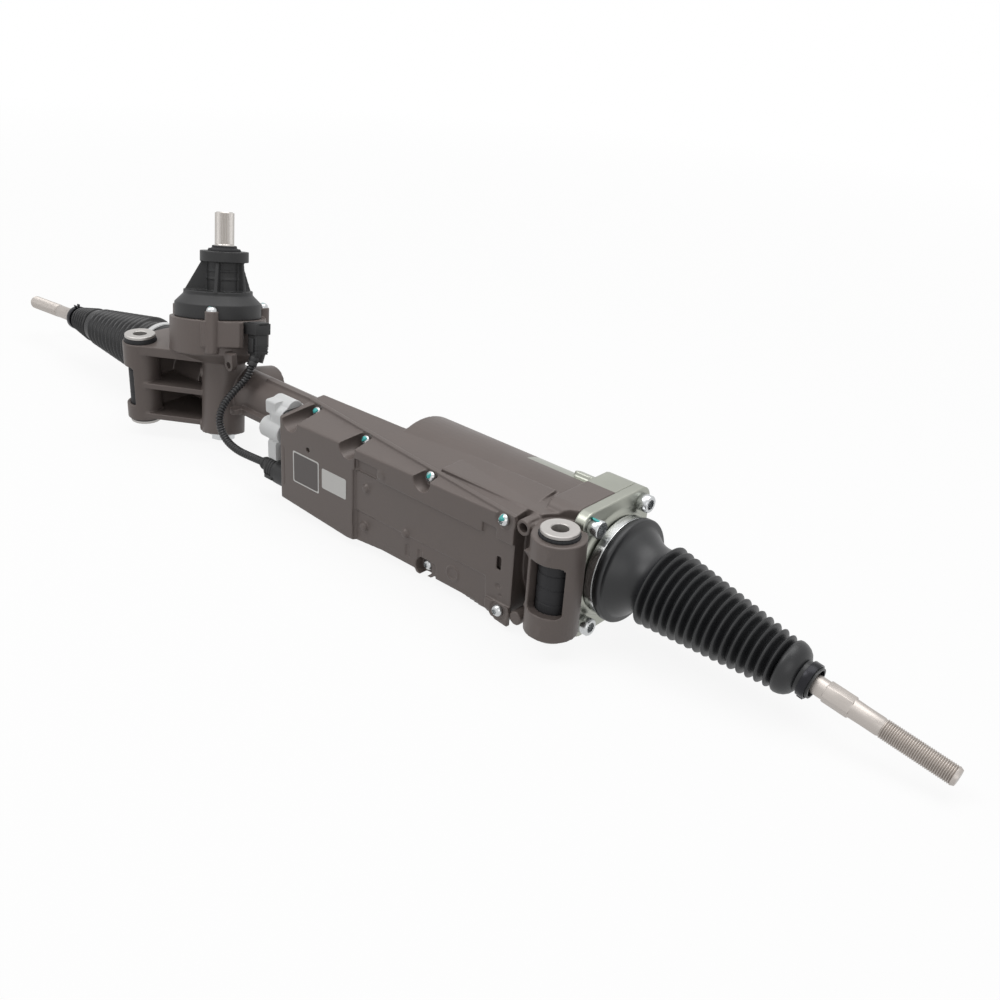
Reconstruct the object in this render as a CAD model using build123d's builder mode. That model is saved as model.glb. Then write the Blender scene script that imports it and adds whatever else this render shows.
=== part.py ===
"""Electric power steering rack: a rack and pinion with a hollow motor round the rack.

The rack runs along X. The two mounting bolts stand along Z, and the origin is midway between
them, on the face that bears on the subframe. -Y is the side of the control unit.
"""
import os
from math import atan2, ceil, cos, degrees, pi, radians, sin, sqrt, tan

from build123d import *

# Mounting bushes
bush_spacing = 509.0
bush_height = 87.0
bolt_hole_d = 12.5
washer_d = 28.0
washer_t = 3.0
bush_rubber_d = 26.0
bush_rim_d = 30.0
sleeve_d = 18.0
near_lug_d = 40.0
far_lug_d = 33.0
lug_base_z = 4.5
near_lug_top_z = 81.5
far_lug_top_z = 80.0
near_window_foot_z = 24.0
near_window_rise = 41.0
far_window_foot_z = 19.0
far_window_rise = 38.0

# Rack and its travel
rack_y = 58.0
rack_z = 40.0
rack_d = 26.0
rack_travel = 75.0
ball_near_x = 321.0
ball_far_x = -346.5
run_fit = 0.05

# Rack and pinion mesh
gear_module = 2.1
pinion_teeth = 8
pressure_angle = 20.0
profile_shift = 0.45
pinion_tip_r = 11.2
pinion_x = -183.8
pinion_lean_x = -9.0
pinion_lean_y = 10.0
mesh_backlash = 0.12
pinion_face = 34.0
rack_tooth_depth_side = 9.2

# Steering column end, measured along the pinion shaft from the rack's level
shaft_d = 18.0
shaft_top_h = 162.0
spline_d = 17.5
collar_foot_h = 117.5
collar_t = 9.5
collar_d = 44.0
column_d = 31.0
dome_foot_h = 66.5
dome_rise = 24.5
dome_d = 79.0
dome_shift = -9.0
cup_foot_h = 35.0
cup_rise = 31.45
cup_d = 88.0
cup_wall = 6.0
pinion_case_d = 39.5
pinion_case_foot_h = -41.0
plug_foot_h = -48.0

# Castings
tube_d = 52.0
slim_tube_d = 44.0
slim_tube_x = -212.0
far_end_x = -296.0
motor_d = 100.0
motor_wall = 6.0
motor_foot_x = 56.0
motor_length = 196.4
yoke_case_d = 37.0
rib_t = 5.5
pad_d = 11.0
pad_rise = 1.5
beam_rib_x = -136.0
beam_rib_t = 6.0
beam_rib_z = 64.0
stub_x = -149.0
stub_d = 11.0

# Control unit
unit_front_y = -8.0
unit_left_x = -40.0
unit_right_x = 218.0
unit_foot_z = -3.0
joint_left_y = 29.0
joint_right_y = -4.0
top_z = 77.5
top_rise_x = 0.025
top_rise_y = 0.15
unit_wall = 3.0
front_wall = 4.0
front_step = 1.0
lip_t = 4.0
lip_out = 2.2
screw_head_d = 9.6
screw_head_t = 4.2

# End cover at the motor
cover_t = 9.0
cover_bolt_y = 29.5
cover_bolt_z = 40.5
cover_bolt_d = 8.0
cover_bolt_head_d = 13.5
cover_bolt_head_t = 8.5
neck_d = 72.0
neck_x = 279.0

# Tie rods and bellows
rod_length = 216.0
rod_d = 13.4
rod_thread_d = 14.0
rod_neck_d = 12.0
rod_thread_length = 53.0
near_droop = 9.53
far_droop = 3.34
ball_d = 26.0
seat_t = 2.0
socket_d = 34.0
socket_length = 36.0


def cross(x):
    """Plane across the rack's axis at x: its x runs along +Y and its y along +Z."""
    return Plane(origin=(x, rack_y, rack_z), x_dir=(0, 1, 0), z_dir=(1, 0, 0))


def keep(piece, name):
    """Label a finished piece and write its file."""
    piece.part.label = name
    export_step(piece.part, f"parts/{name}.step")


def ring(piece_name, plane, outer_r, inner_r, width):
    """Plain ring, such as a bearing, from its plane along the plane's normal."""
    with BuildPart() as piece:
        with BuildSketch(plane):
            Circle(outer_r)
            Circle(inner_r, mode=Mode.SUBTRACT)
        extrude(amount=width)
    keep(piece, piece_name)


# Tower plane: z runs up the pinion shaft, from the rack's level
lean = Vector(tan(radians(pinion_lean_x)), tan(radians(pinion_lean_y)), 1).normalized()
tower_x = (Vector(1, 0, 0) - lean * lean.X).normalized()
mesh_dir = lean.cross(tower_x)
pitch_r = gear_module * pinion_teeth / 2
pinion_foot = Vector(pinion_x, rack_y, rack_z) - mesh_dir * (pitch_r + rack_tooth_depth_side)
yoke_plane = Plane(origin=(pinion_x, rack_y, rack_z), x_dir=tower_x, z_dir=mesh_dir)


def tower(h, shift=0.0):
    """Plane across the pinion shaft at height h, moved sideways by shift."""
    return Plane(origin=pinion_foot + lean * h + tower_x * shift, x_dir=tower_x, z_dir=lean)


os.makedirs("parts", exist_ok=True)

# Spans along the tower, the motor and the windows of the lugs
collar_h = (collar_foot_h, collar_foot_h + collar_t)
dome_h = (dome_foot_h, dome_foot_h + dome_rise)
cup_h = (cup_foot_h, cup_foot_h + cup_rise)
motor_x = (motor_foot_x, motor_foot_x + motor_length)
near_window_z = (near_window_foot_z, near_window_foot_z + near_window_rise)
far_window_z = (far_window_foot_z, far_window_foot_z + far_window_rise)

# Planes of the control unit
joint_turn = degrees(atan2(joint_left_y - joint_right_y, unit_right_x - unit_left_x))
joint_dir = Vector(cos(radians(joint_turn)), -sin(radians(joint_turn)), 0)
joint_plane = Plane(
    origin=(unit_left_x, joint_left_y, 0), x_dir=joint_dir, z_dir=joint_dir.cross(Vector(0, 0, 1))
)
top_plane = Plane(
    origin=(0, 0, top_z), z_dir=Vector(-top_rise_x, -top_rise_y, 1).normalized(), x_dir=(1, 0, top_rise_x)
)


def joint_y(x):
    """Depth of the joint between housing and cover at x."""
    share = (x - unit_left_x) / (unit_right_x - unit_left_x)
    return joint_left_y + (joint_right_y - joint_left_y) * share


# Rack housing: the main casting, with both lugs, the tower, the tube and the motor casing
lug_x = bush_spacing / 2
lugs = ((-lug_x, far_lug_d, far_lug_top_z), (lug_x, near_lug_d, near_lug_top_z))
bush_bore_d = bush_rubber_d + 0.2
tube_r = tube_d / 2
slim_r = slim_tube_d / 2
motor_r = motor_d / 2
cup_r = cup_d / 2
case_r = pinion_case_d / 2
unit_back_y = 41.0
unit_mid_x = 52.0
socket_pass_d = socket_d + 3.0
socket_stop_far_x = ball_far_x + socket_length / 2 + rack_travel + 2.0
motor_room_d = motor_d - 2 * motor_wall
motor_room_x = motor_x[0] + motor_wall + 4.0
rotor_bearing_x = motor_room_x - 6.0
rotor_bearing_d = 52.0
rack_pass_d = rack_d + 6.0
far_neck_d = 54.0
far_neck_x = -309.0
far_mouth_d = 48.0
yoke_d = 30.0
yoke_reach = 33.0
bearing_low_d = 24.0
bearing_up_d = 35.0
upper_seat_h = 20.0
unit_outline = (
    (unit_left_x, unit_foot_z + 3.0), (unit_left_x, 130.0), (unit_right_x, 130.0),
    (unit_right_x, unit_foot_z - 2.5), (unit_right_x - 14.0, unit_foot_z - 2.5),
    (unit_right_x - 18.0, unit_foot_z + 1.0), (unit_left_x + 124.0, unit_foot_z + 1.0),
    (unit_left_x + 84.0, unit_foot_z - 2.5),
)


def unit_sketch_points(grow=0.0):
    """Outline of the control unit in X and Z, drawn in by grow below and at the ends."""
    mid_x = (unit_left_x + unit_right_x) / 2
    return [
        (x - grow if x > mid_x else x + grow, z + grow if z < rack_z else z)
        for x, z in unit_outline
    ]


front_plane = Plane(origin=(0, 0, 0), x_dir=(1, 0, 0), z_dir=(0, -1, 0))

top_screws = ((unit_left_x + 14.0, 75.0), (44.5, 75.5), (128.0, 77.5), (211.0, 78.0))
foot_screws = ((129.5, 2.5), (211.0, 2.5))
well_d = 15.5
cover_screw_d = 5.0
cover_screw_length = 18.0
seat_planes = [
    Plane(origin=(x, joint_y(x), z), x_dir=joint_dir, z_dir=joint_plane.z_dir)
    for x, z in top_screws + foot_screws
]
cup_screw_turns = (-44.0, 76.0, 196.0)
cup_screw_ring = cup_d / 2 + 1.0
cup_boss_d = 12.0
cup_boss_h = (cup_h[0] + 2.0, 75.0)
cover_bolts = [(y * cover_bolt_y, z * cover_bolt_z) for y in (-1, 1) for z in (-1, 1)]
cover_bolt_length = 24.0
stub_y = 28.5
stub_z = 32.5
pad_heights = (16.4, -34.0)
pad_dir = Vector(-0.62, -0.78, 0)
eyelet_at = (-156.0, 33.0, 77.5)
eyelet_r = 5.7
eyelet_hole_r = 3.0
flat_turn = -34.0
flat_width = 34.0
flat_reach = 47.5
guard_turn = -12.0
guard_reach = 50.0
cup_front_foot_h = 43.0
gland_z = 14.0
gland_y = 6.0
gland_d = 23.0

with BuildPart() as rack_housing:
    # Tub of the control unit
    with BuildSketch(front_plane.offset(-unit_back_y)):
        Polygon(*unit_sketch_points(), align=None)
    extrude(amount=unit_back_y + 6)
    split(bisect_by=top_plane, keep=Keep.BOTTOM)
    split(bisect_by=joint_plane, keep=Keep.BOTTOM)
    fillet(
        rack_housing.edges().filter_by(
            lambda e: e.center().Y > unit_back_y - 1 and e.center().Z > 70 and e.length > 60
        ),
        radius=1.5,
    )
    with Locations(Plane(origin=(0, rack_y, rack_z), z_dir=(1, 0, 0))):
        Cylinder(slim_r + 0.01, unit_mid_x - unit_left_x, mode=Mode.SUBTRACT,
                 align=(Align.CENTER, Align.CENTER, Align.MAX))
    # Tube round the rack, and the collar that carries the far bellows
    with BuildSketch(cross(far_end_x)):
        Circle(tube_r)
    extrude(amount=slim_tube_x - far_end_x)
    with BuildSketch(cross(slim_tube_x)):
        Circle(slim_r)
    extrude(amount=motor_x[0] - slim_tube_x + 4)
    # Ribs along the tube: one on top, and one in front that ends in a round stub
    with BuildSketch(Plane.XY.offset(rack_z)):
        with Locations(((beam_rib_x + unit_left_x) / 2 + 2.0, rack_y - 1.0)):
            Rectangle(unit_left_x - beam_rib_x + 4.0, beam_rib_t)
    extrude(amount=beam_rib_z - rack_z)
    with BuildSketch(Plane.XY.offset(stub_z)):
        with Locations((stub_x, stub_y)):
            Circle(stub_d / 2)
        with Locations(((stub_x + unit_left_x) / 2 + 2.0, (joint_left_y + rack_y) / 2)):
            Rectangle(unit_left_x - stub_x + 4.0, rack_y - joint_left_y - 4.0)
    extrude(amount=rib_t)
    with BuildSketch(cross(far_neck_x)):
        Circle(far_neck_d / 2)
    extrude(amount=far_end_x - far_neck_x + 14)
    # Motor casing, chamfered at its closed end
    with BuildSketch(cross(motor_x[0])):
        Circle(motor_r - 8.0)
    with BuildSketch(cross(motor_x[0] + 8.0)):
        Circle(motor_r)
    loft()
    with BuildSketch(cross(motor_x[0] + 8.0)):
        Circle(motor_r)
    extrude(amount=motor_x[1] - motor_x[0] - 8.0)
    # Bosses at the corners of the end cover
    with BuildSketch(cross(motor_x[1])):
        with Locations(*cover_bolts):
            Circle(11.0)
        make_hull()
    extrude(amount=-(cover_bolt_length + 2.0))
    # Saddle on top of the casing, in line with the top of the control unit
    with BuildSketch(Plane.XY.offset(rack_z)):
        with Locations((motor_x[1] - 60.0, rack_y - 20.7)):
            Rectangle(120.0, 58.6)
    extrude(amount=45.5)
    # Pinion case, cup of the torque sensor and casting pads
    with BuildSketch(tower(pinion_case_foot_h)):
        Circle(case_r)
    extrude(amount=cup_h[0] - pinion_case_foot_h)
    with BuildSketch(tower(cup_h[0] - 9.0)):
        Circle(case_r + 2.0)
    with BuildSketch(tower(cup_h[0], dome_shift)):
        Circle(cup_r)
    loft()
    with BuildSketch(tower(cup_h[0], dome_shift)):
        Circle(cup_r)
    extrude(amount=cup_h[1] - cup_h[0])
    for turn in cup_screw_turns:
        boss_x = cup_screw_ring * cos(radians(turn))
        boss_y = cup_screw_ring * sin(radians(turn))
        with BuildSketch(tower(cup_boss_h[0], dome_shift)):
            with Locations((boss_x, boss_y)):
                Circle(cup_boss_d / 2)
        extrude(amount=cup_boss_h[1] - cup_boss_h[0])
    # Round pads on the pinion case, the flat front of the cup with the guard of its socket, and an eyelet
    for pad_h in pad_heights:
        with BuildSketch(Plane(origin=tower(pad_h).origin, z_dir=pad_dir)):
            Circle(pad_d / 2)
        extrude(amount=case_r + pad_rise)
    for front_turn, front_width, front_reach in (
        (flat_turn, flat_width, flat_reach), (guard_turn, 4.0, guard_reach)
    ):
        with BuildSketch(tower(cup_front_foot_h, dome_shift)):
            with Locations(Rot(0, 0, front_turn)):
                with Locations((front_reach / 2 + 15.0, 0)):
                    Rectangle(front_reach - 30.0, front_width)
        extrude(amount=cup_h[1] - cup_front_foot_h)
    with BuildSketch(Plane(origin=eyelet_at, x_dir=(1, 0, 0), z_dir=(0, -1, 0))):
        Circle(eyelet_r)
        with Locations((0, eyelet_r)):
            Rectangle(2 * eyelet_r, 2 * eyelet_r)
        Circle(eyelet_hole_r, mode=Mode.SUBTRACT)
    extrude(amount=6.0)
    # Case of the yoke, behind the rack
    with BuildSketch(yoke_plane):
        Circle(yoke_case_d / 2)
    extrude(amount=yoke_reach + 8.0)
    # Lugs, and the arms that carry them
    for lug_at, lug_width, lug_top in lugs:
        with BuildSketch(Plane.XY.offset(lug_base_z)):
            with Locations((lug_at, 0)):
                Circle(lug_width / 2)
        extrude(amount=lug_top - lug_base_z)
    for arm_z, arm_t in ((lug_base_z, 19.5), (near_lug_top_z - 16.5, 16.5)):
        with BuildSketch(Plane.XY.offset(arm_z)):
            with Locations((lug_x, 0)):
                Circle(near_lug_d / 2 - 1.0)
            with Locations((lug_x - 24.0, 38.0), (lug_x - 13.0, 38.0)):
                Circle(10.0)
            make_hull()
        extrude(amount=arm_t)
    with BuildSketch(Plane.YZ.offset(lug_x - 18.0)):
        Polygon(
            (30.0, near_window_z[0] - 3.0), (30.0, near_window_z[1] + 3.0), (-16.0, near_window_z[1] + 3.0),
            (0.0, 46.0), (0.0, 39.0), (-12.0, near_window_z[0] - 3.0), align=None,
        )
    extrude(amount=4.0)
    for arm_z, arm_t in ((lug_base_z + 3.0, rib_t), (38.0, rib_t), (far_lug_top_z - 9.0, 9.0)):
        with BuildSketch(Plane.XY.offset(arm_z)):
            with Locations((-lug_x, 0)):
                Circle(far_lug_d / 2 - 1.0)
            with Locations((pinion_foot.X - 4.0, pinion_foot.Y - 2.0), (-lug_x - 2.0, rack_y - 8.0)):
                Circle(12.0)
            make_hull()
        extrude(amount=arm_t)
    with BuildSketch(Plane.XY.offset(lug_base_z + 3.0)):
        with BuildLine():
            Polyline((-lug_x, 0), (-lug_x - 2.0, rack_y - 8.0))
        trace(line_width=rib_t + 2.0)
    extrude(amount=far_lug_top_z - lug_base_z - 8.0)
    with BuildSketch(cross(motor_x[1])):
        with Locations((0, 0)):
            Rectangle(2 * (rack_y - 17.2), 2 * (rack_y - 17.2) + 30.0)
    extrude(amount=30.0, mode=Mode.SUBTRACT)
    # Bosses beside the near lug
    with BuildSketch(front_plane.offset(7.0)):
        with Locations((unit_right_x + 9.2, 78.0)):
            Circle(6.2)
    extrude(amount=-36.0)
    with BuildSketch(front_plane.offset(7.0)):
        with Locations((unit_right_x + 8.5, 2.5)):
            Circle(5.5)
    extrude(amount=-40.0)
    with BuildSketch(front_plane.offset(8.0)):
        with Locations((unit_right_x + 9.2, 78.0)):
            Circle(3.6)
    extrude(amount=-18.0, mode=Mode.SUBTRACT)
    # Bores: rack, motor, sockets at full lock
    with BuildSketch(cross(far_neck_x - 1.0)):
        Circle(rack_pass_d / 2)
    extrude(amount=motor_x[1] - far_neck_x + 2.0, mode=Mode.SUBTRACT)
    with BuildSketch(cross(far_neck_x - 1.0)):
        Circle(socket_pass_d / 2)
    extrude(amount=socket_stop_far_x - far_neck_x + 1.0, mode=Mode.SUBTRACT)
    with BuildSketch(cross(far_neck_x - 1.0)):
        Circle(far_mouth_d / 2)
    extrude(amount=25.0, mode=Mode.SUBTRACT)
    with BuildSketch(cross(rotor_bearing_x)):
        Circle(rotor_bearing_d / 2)
    extrude(amount=20.0, mode=Mode.SUBTRACT)
    with BuildSketch(cross(motor_room_x)):
        Circle(motor_room_d / 2)
    extrude(amount=motor_x[1] - motor_x[0], mode=Mode.SUBTRACT)
    # Bores: pinion, torque sensor, yoke
    with BuildSketch(tower(pinion_case_foot_h - 1.0)):
        Circle(bearing_low_d / 2)
    extrude(amount=upper_seat_h - pinion_case_foot_h + 1.0, mode=Mode.SUBTRACT)
    with BuildSketch(tower(upper_seat_h)):
        Circle(bearing_up_d / 2)
    extrude(amount=cup_h[1] - upper_seat_h + 1.0, mode=Mode.SUBTRACT)
    with BuildSketch(tower(cup_h[0] + 6.0, dome_shift)):
        Circle(cup_r - cup_wall)
    extrude(amount=cup_h[1] - cup_h[0], mode=Mode.SUBTRACT)
    with BuildSketch(yoke_plane.offset(4.0)):
        Circle(yoke_d / 2 + run_fit)
    extrude(amount=yoke_reach + 8.0, mode=Mode.SUBTRACT)
    # Bores of the lugs, their windows, and the recess round the near washer
    for lug_at, lug_width, lug_top in lugs:
        with BuildSketch(Plane.XY.offset(lug_base_z - 1.0)):
            with Locations((lug_at, 0)):
                Circle(bush_bore_d / 2)
        extrude(amount=lug_top, mode=Mode.SUBTRACT)
    with BuildSketch(Plane.XY.offset(near_lug_top_z)):
        with Locations((lug_x, 0)):
            Circle(near_lug_d / 2 + 4.0)
    extrude(amount=20.0, mode=Mode.SUBTRACT)
    with BuildSketch(front_plane.offset(near_lug_d / 2 + 1.0)):
        with Locations((lug_x + 2.7, sum(near_window_z) / 2)):
            RectangleRounded(26.6, near_window_z[1] - near_window_z[0], 3.0)
    extrude(amount=-(near_lug_d / 2 + 6.0), mode=Mode.SUBTRACT)
    with BuildSketch(front_plane.offset(far_lug_d / 2 + 1.0)):
        with Locations((-lug_x - 7.0, sum(far_window_z) / 2)):
            RectangleRounded(28.0, far_window_z[1] - far_window_z[0], 3.0)
    extrude(amount=-(far_lug_d / 2 - 1.0), mode=Mode.SUBTRACT)
    # Threaded holes for the cover's screws, the end cover's bolts and the sensor cover's screws
    with BuildSketch(*seat_planes):
        Circle(cover_screw_d / 2)
    extrude(amount=-(cover_screw_length - lip_t), mode=Mode.SUBTRACT)
    with BuildSketch(cross(motor_x[1])):
        with Locations(*cover_bolts):
            Circle(cover_bolt_d / 2)
    extrude(amount=-cover_bolt_length, mode=Mode.SUBTRACT)
    # Pocket for the electronics, shallow beside the motor
    with BuildSketch(front_plane.offset(8.0)):
        with Locations((121.0, 38.0)):
            Rectangle(162.0, 64.0)
    extrude(amount=-11.5, mode=Mode.SUBTRACT)
    with BuildSketch(front_plane.offset(8.0)):
        with BuildLine():
            Polyline(
                (unit_left_x + 8.0, unit_foot_z + 14.0), (unit_left_x + 8.0, top_z - 12.0),
                (unit_mid_x - 6.0, top_z - 10.0), (unit_mid_x - 6.0, unit_foot_z + 14.0), close=True,
            )
        make_face()
    extrude(amount=-(joint_left_y + 6.0), mode=Mode.SUBTRACT)
keep(rack_housing, "rack_housing")

# Cover of the control unit: a wedge that is deep at the connectors
front_edge_x = 51.0
front_middle = (
    (front_edge_x, 8.0), (front_edge_x, 60.0), (190.0, 60.5), (190.0, 69.0), (unit_right_x - 14.0, 69.0),
    (unit_right_x - 14.0, 61.0), (unit_right_x + 3.0, 61.0), (unit_right_x + 3.0, 8.0),
)
front_foot = (
    (front_edge_x, 8.0), (front_edge_x, 24.0), (195.0, 24.5), (unit_right_x - 21.0, 8.0),
)
front_slots = ((112.0, 5.0, 15.0), (125.5, 6.0, 16.0), (206.5, 35.0, 45.0))
front_knobs = ((65.0, 47.0), (63.0, 12.0), (84.0, 66.0), (110.0, 25.0))
cover_bottom = Plane(origin=(0, unit_front_y, 0), x_dir=(1, 0, 0), z_dir=(0, -1, 0))

with BuildPart() as cover_room:
    with BuildSketch(cover_bottom.offset(-front_wall)):
        Polygon(*unit_sketch_points(unit_wall), align=None)
    extrude(amount=-(joint_left_y - unit_front_y + 8.0))
    split(bisect_by=top_plane.offset(-unit_wall), keep=Keep.BOTTOM)

with BuildPart() as cover_lip:
    with BuildSketch(cover_bottom.offset(lip_out)):
        Polygon(*unit_sketch_points(-lip_out), align=None)
    extrude(amount=-(joint_left_y - unit_front_y + 8.0))
    split(bisect_by=top_plane.offset(lip_out), keep=Keep.BOTTOM)
    split(bisect_by=joint_plane, keep=Keep.TOP)
    split(bisect_by=joint_plane.offset(lip_t), keep=Keep.BOTTOM)

with BuildPart() as screw_posts:
    with BuildSketch(cover_bottom):
        with Locations(*top_screws, *foot_screws):
            Circle(well_d / 2 + 2.5)
    extrude(amount=-(joint_left_y - unit_front_y + 8.0))
    split(bisect_by=top_plane, keep=Keep.BOTTOM)
    split(bisect_by=joint_plane, keep=Keep.TOP)
    split(bisect_by=Plane(origin=(0, 0, unit_foot_z - 2.0), z_dir=(0, 0, 1)), keep=Keep.TOP)

with BuildPart() as screw_wells:
    with BuildSketch(cover_bottom.offset(5.0)):
        with Locations(*top_screws, *foot_screws):
            Circle(well_d / 2)
    extrude(amount=-(joint_left_y - unit_front_y + 8.0))
    split(bisect_by=joint_plane.offset(lip_t), keep=Keep.TOP)

with BuildPart() as control_unit_cover:
    with BuildSketch(cover_bottom):
        Polygon(*unit_sketch_points(), align=None)
    extrude(amount=-(joint_left_y - unit_front_y + 8.0))
    split(bisect_by=top_plane, keep=Keep.BOTTOM)
    split(bisect_by=joint_plane, keep=Keep.TOP)
    fillet(control_unit_cover.faces().sort_by(Axis.Y)[0].edges(), radius=2.0)
    # Front that steps back from its top band to its middle and its foot, with slots and knobs
    with BuildSketch(cover_bottom):
        with BuildLine():
            Polyline(*front_middle, close=True)
        make_face()
    extrude(amount=-front_step, mode=Mode.SUBTRACT)
    with BuildSketch(cover_bottom):
        with BuildLine():
            Polyline(*front_foot, close=True)
        make_face()
        with Locations(*[(x, (low + high) / 2) for x, low, high in front_slots]):
            Rectangle(4.0, 10.0)
        with Locations(((front_edge_x + 15.0), 65.0)):
            Rectangle(26.0, 10.0)
    extrude(amount=-2 * front_step, mode=Mode.SUBTRACT)
    with BuildSketch(cover_bottom.offset(-2 * front_step)):
        with Locations(*front_knobs):
            Circle(3.6)
    extrude(amount=2 * front_step + 0.8)
    add(cover_lip.part)
    add(cover_room.part, mode=Mode.SUBTRACT)
    add(screw_posts.part)
    add(screw_wells.part, mode=Mode.SUBTRACT)
    with BuildSketch(*[p.offset(-1.0) for p in seat_planes]):
        Circle(2.75)
    extrude(amount=lip_t + 3.0, mode=Mode.SUBTRACT)
    # Posts for the circuit board
    with BuildSketch(cover_bottom.offset(-front_wall + 0.5)):
        with Locations((-22.0, 20.0), (-22.0, 58.0), (192.0, 20.0), (192.0, 58.0)):
            Circle(3.5)
    extrude(amount=-3.5)
keep(control_unit_cover, "control_unit_cover")


# Screws of the cover: round heads with a six-lobed socket
with BuildPart() as cover_screws:
    with BuildSketch(*[p.offset(lip_t + 0.02) for p in seat_planes]):
        Circle(screw_head_d / 2)
    extrude(amount=screw_head_t)
    with BuildSketch(*[p.offset(lip_t + 0.02) for p in seat_planes]):
        Circle(cover_screw_d / 2 - 0.05)
    extrude(amount=-(cover_screw_length - 1.0))
    with BuildSketch(*[p.offset(lip_t + screw_head_t - 2.0) for p in seat_planes]):
        RegularPolygon(2.5, 6)
    extrude(amount=3.0, mode=Mode.SUBTRACT)
keep(cover_screws, "cover_screws")

# Circuit board, behind the front of the cover
board_t = 1.6
with BuildPart() as circuit_board:
    with BuildSketch(cover_bottom.offset(-front_wall - 3.0)):
        with Locations((85.0, 39.0)):
            RectangleRounded(226.0, 49.0, 4.0)
    extrude(amount=-board_t)
    with BuildSketch(cover_bottom.offset(-front_wall - 3.0 - board_t)):
        with Locations((-2.0, 38.0)):
            Rectangle(40.0, 34.0)
    extrude(amount=-9.0)
    with BuildSketch(cover_bottom.offset(-front_wall - 3.0 - board_t)):
        with Locations((110.0, 20.0), (140.0, 20.0), (170.0, 20.0)):
            Rectangle(14.0, 12.0)
    extrude(amount=-2.4)
keep(circuit_board, "circuit_board")

# Power connector on the left end of the unit, with its dust cap, and the round signal plug
power_z = 60.0
power_y = 11.5
with BuildPart() as power_connector:
    with BuildSketch(Plane(origin=(unit_left_x, power_y, power_z), x_dir=(0, 1, 0), z_dir=(-1, 0, 0))):
        RectangleRounded(26.0, 32.0, 5.0)
    extrude(amount=14.0)
    with BuildSketch(Plane(origin=(unit_left_x - 3.0, power_y, power_z), x_dir=(0, 1, 0), z_dir=(-1, 0, 0))):
        RectangleRounded(22.0, 28.0, 3.5)
    extrude(amount=12.0, mode=Mode.SUBTRACT)
    with BuildSketch(Plane(origin=(unit_left_x - 3.0, power_y, power_z), x_dir=(0, 1, 0), z_dir=(-1, 0, 0))):
        with GridLocations(10.0, 12.0, 2, 2):
            Rectangle(1.2, 6.0)
    extrude(amount=8.0)
keep(power_connector, "power_connector")

with BuildPart() as connector_cap:
    with BuildSketch(Plane(origin=(unit_left_x - 4.0, power_y, power_z), x_dir=(0, 1, 0), z_dir=(-1, 0, 0))):
        RectangleRounded(31.0, 37.0, 8.0)
    extrude(amount=19.0)
    fillet(connector_cap.faces().sort_by(Axis.X)[0].edges(), radius=4.0)
    with BuildSketch(Plane(origin=(unit_left_x - 3.0, power_y, power_z), x_dir=(0, 1, 0), z_dir=(-1, 0, 0))):
        RectangleRounded(27.0, 33.0, 5.5)
    extrude(amount=17.5, mode=Mode.SUBTRACT)
    tab_at = (unit_left_x - 8.0, power_y - 6.0, power_z - 25.0)
    with BuildSketch(Plane(origin=tab_at, x_dir=(0, 1, 0), z_dir=(-1, 0, 0))):
        RectangleRounded(9.0, 18.0, 1.5)
    extrude(amount=9.0)
keep(connector_cap, "connector_cap")

with BuildPart() as signal_socket:
    with BuildSketch(Plane(origin=(unit_left_x, gland_y, gland_z), z_dir=(-1, 0, 0))):
        Circle(gland_d / 2)
    extrude(amount=14.0)
    with BuildSketch(Plane(origin=(unit_left_x - 4.0, gland_y, gland_z), z_dir=(-1, 0, 0))):
        Circle(gland_d / 2 - 2.5)
    extrude(amount=10.0, mode=Mode.SUBTRACT)
keep(signal_socket, "signal_socket")

with BuildPart() as signal_plug:
    with BuildSketch(Plane(origin=(unit_left_x - 5.0, gland_y, gland_z), z_dir=(-1, 0, 0))):
        Circle(gland_d / 2 - 2.6)
    extrude(amount=9.5)
    with BuildSketch(Plane(origin=(unit_left_x - 14.0, gland_y, gland_z), z_dir=(-1, 0, 0))):
        Circle(gland_d / 2 - 0.5)
    extrude(amount=17.0)
    chamfer(signal_plug.faces().sort_by(Axis.X)[0].edges(), length=3.5)
    with BuildSketch(Plane(origin=(unit_left_x - 31.0, gland_y, gland_z), z_dir=(-1, 0, 0))):
        Circle(5.4)
    extrude(amount=9.0)
keep(signal_plug, "signal_plug")

# End cover at the motor, with the neck that carries the near bellows
neck_r = neck_d / 2
with BuildPart() as end_cover:
    with BuildSketch(cross(motor_x[1])):
        with Locations(*cover_bolts):
            Circle(11.0)
        make_hull()
    extrude(amount=cover_t)
    with BuildSketch(cross(motor_x[1] + cover_t)):
        Circle(neck_r + 3.0)
    with BuildSketch(cross(motor_x[1] + cover_t + 3.0)):
        Circle(neck_r)
    loft()
    with BuildSketch(cross(motor_x[1] + cover_t)):
        Circle(neck_r)
    extrude(amount=neck_x - motor_x[1] - cover_t)
    with BuildSketch(cross(motor_x[1] - 7.0)):
        Circle(motor_room_d / 2 - run_fit)
    extrude(amount=7.0)
    with BuildSketch(cross(motor_x[1] - 8.0)):
        Circle(socket_pass_d / 2)
    extrude(amount=neck_x - motor_x[1] + 9.0, mode=Mode.SUBTRACT)
    with BuildSketch(cross(motor_x[1] + cover_t + 4.0)):
        Circle(neck_r - 4.0)
    extrude(amount=neck_x - motor_x[1], mode=Mode.SUBTRACT)
    with BuildSketch(cross(motor_x[1] - 1.0)):
        with Locations(*cover_bolts):
            Circle(cover_bolt_d / 2 + 0.3)
    extrude(amount=cover_t + 4.0, mode=Mode.SUBTRACT)
keep(end_cover, "end_cover")

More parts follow.
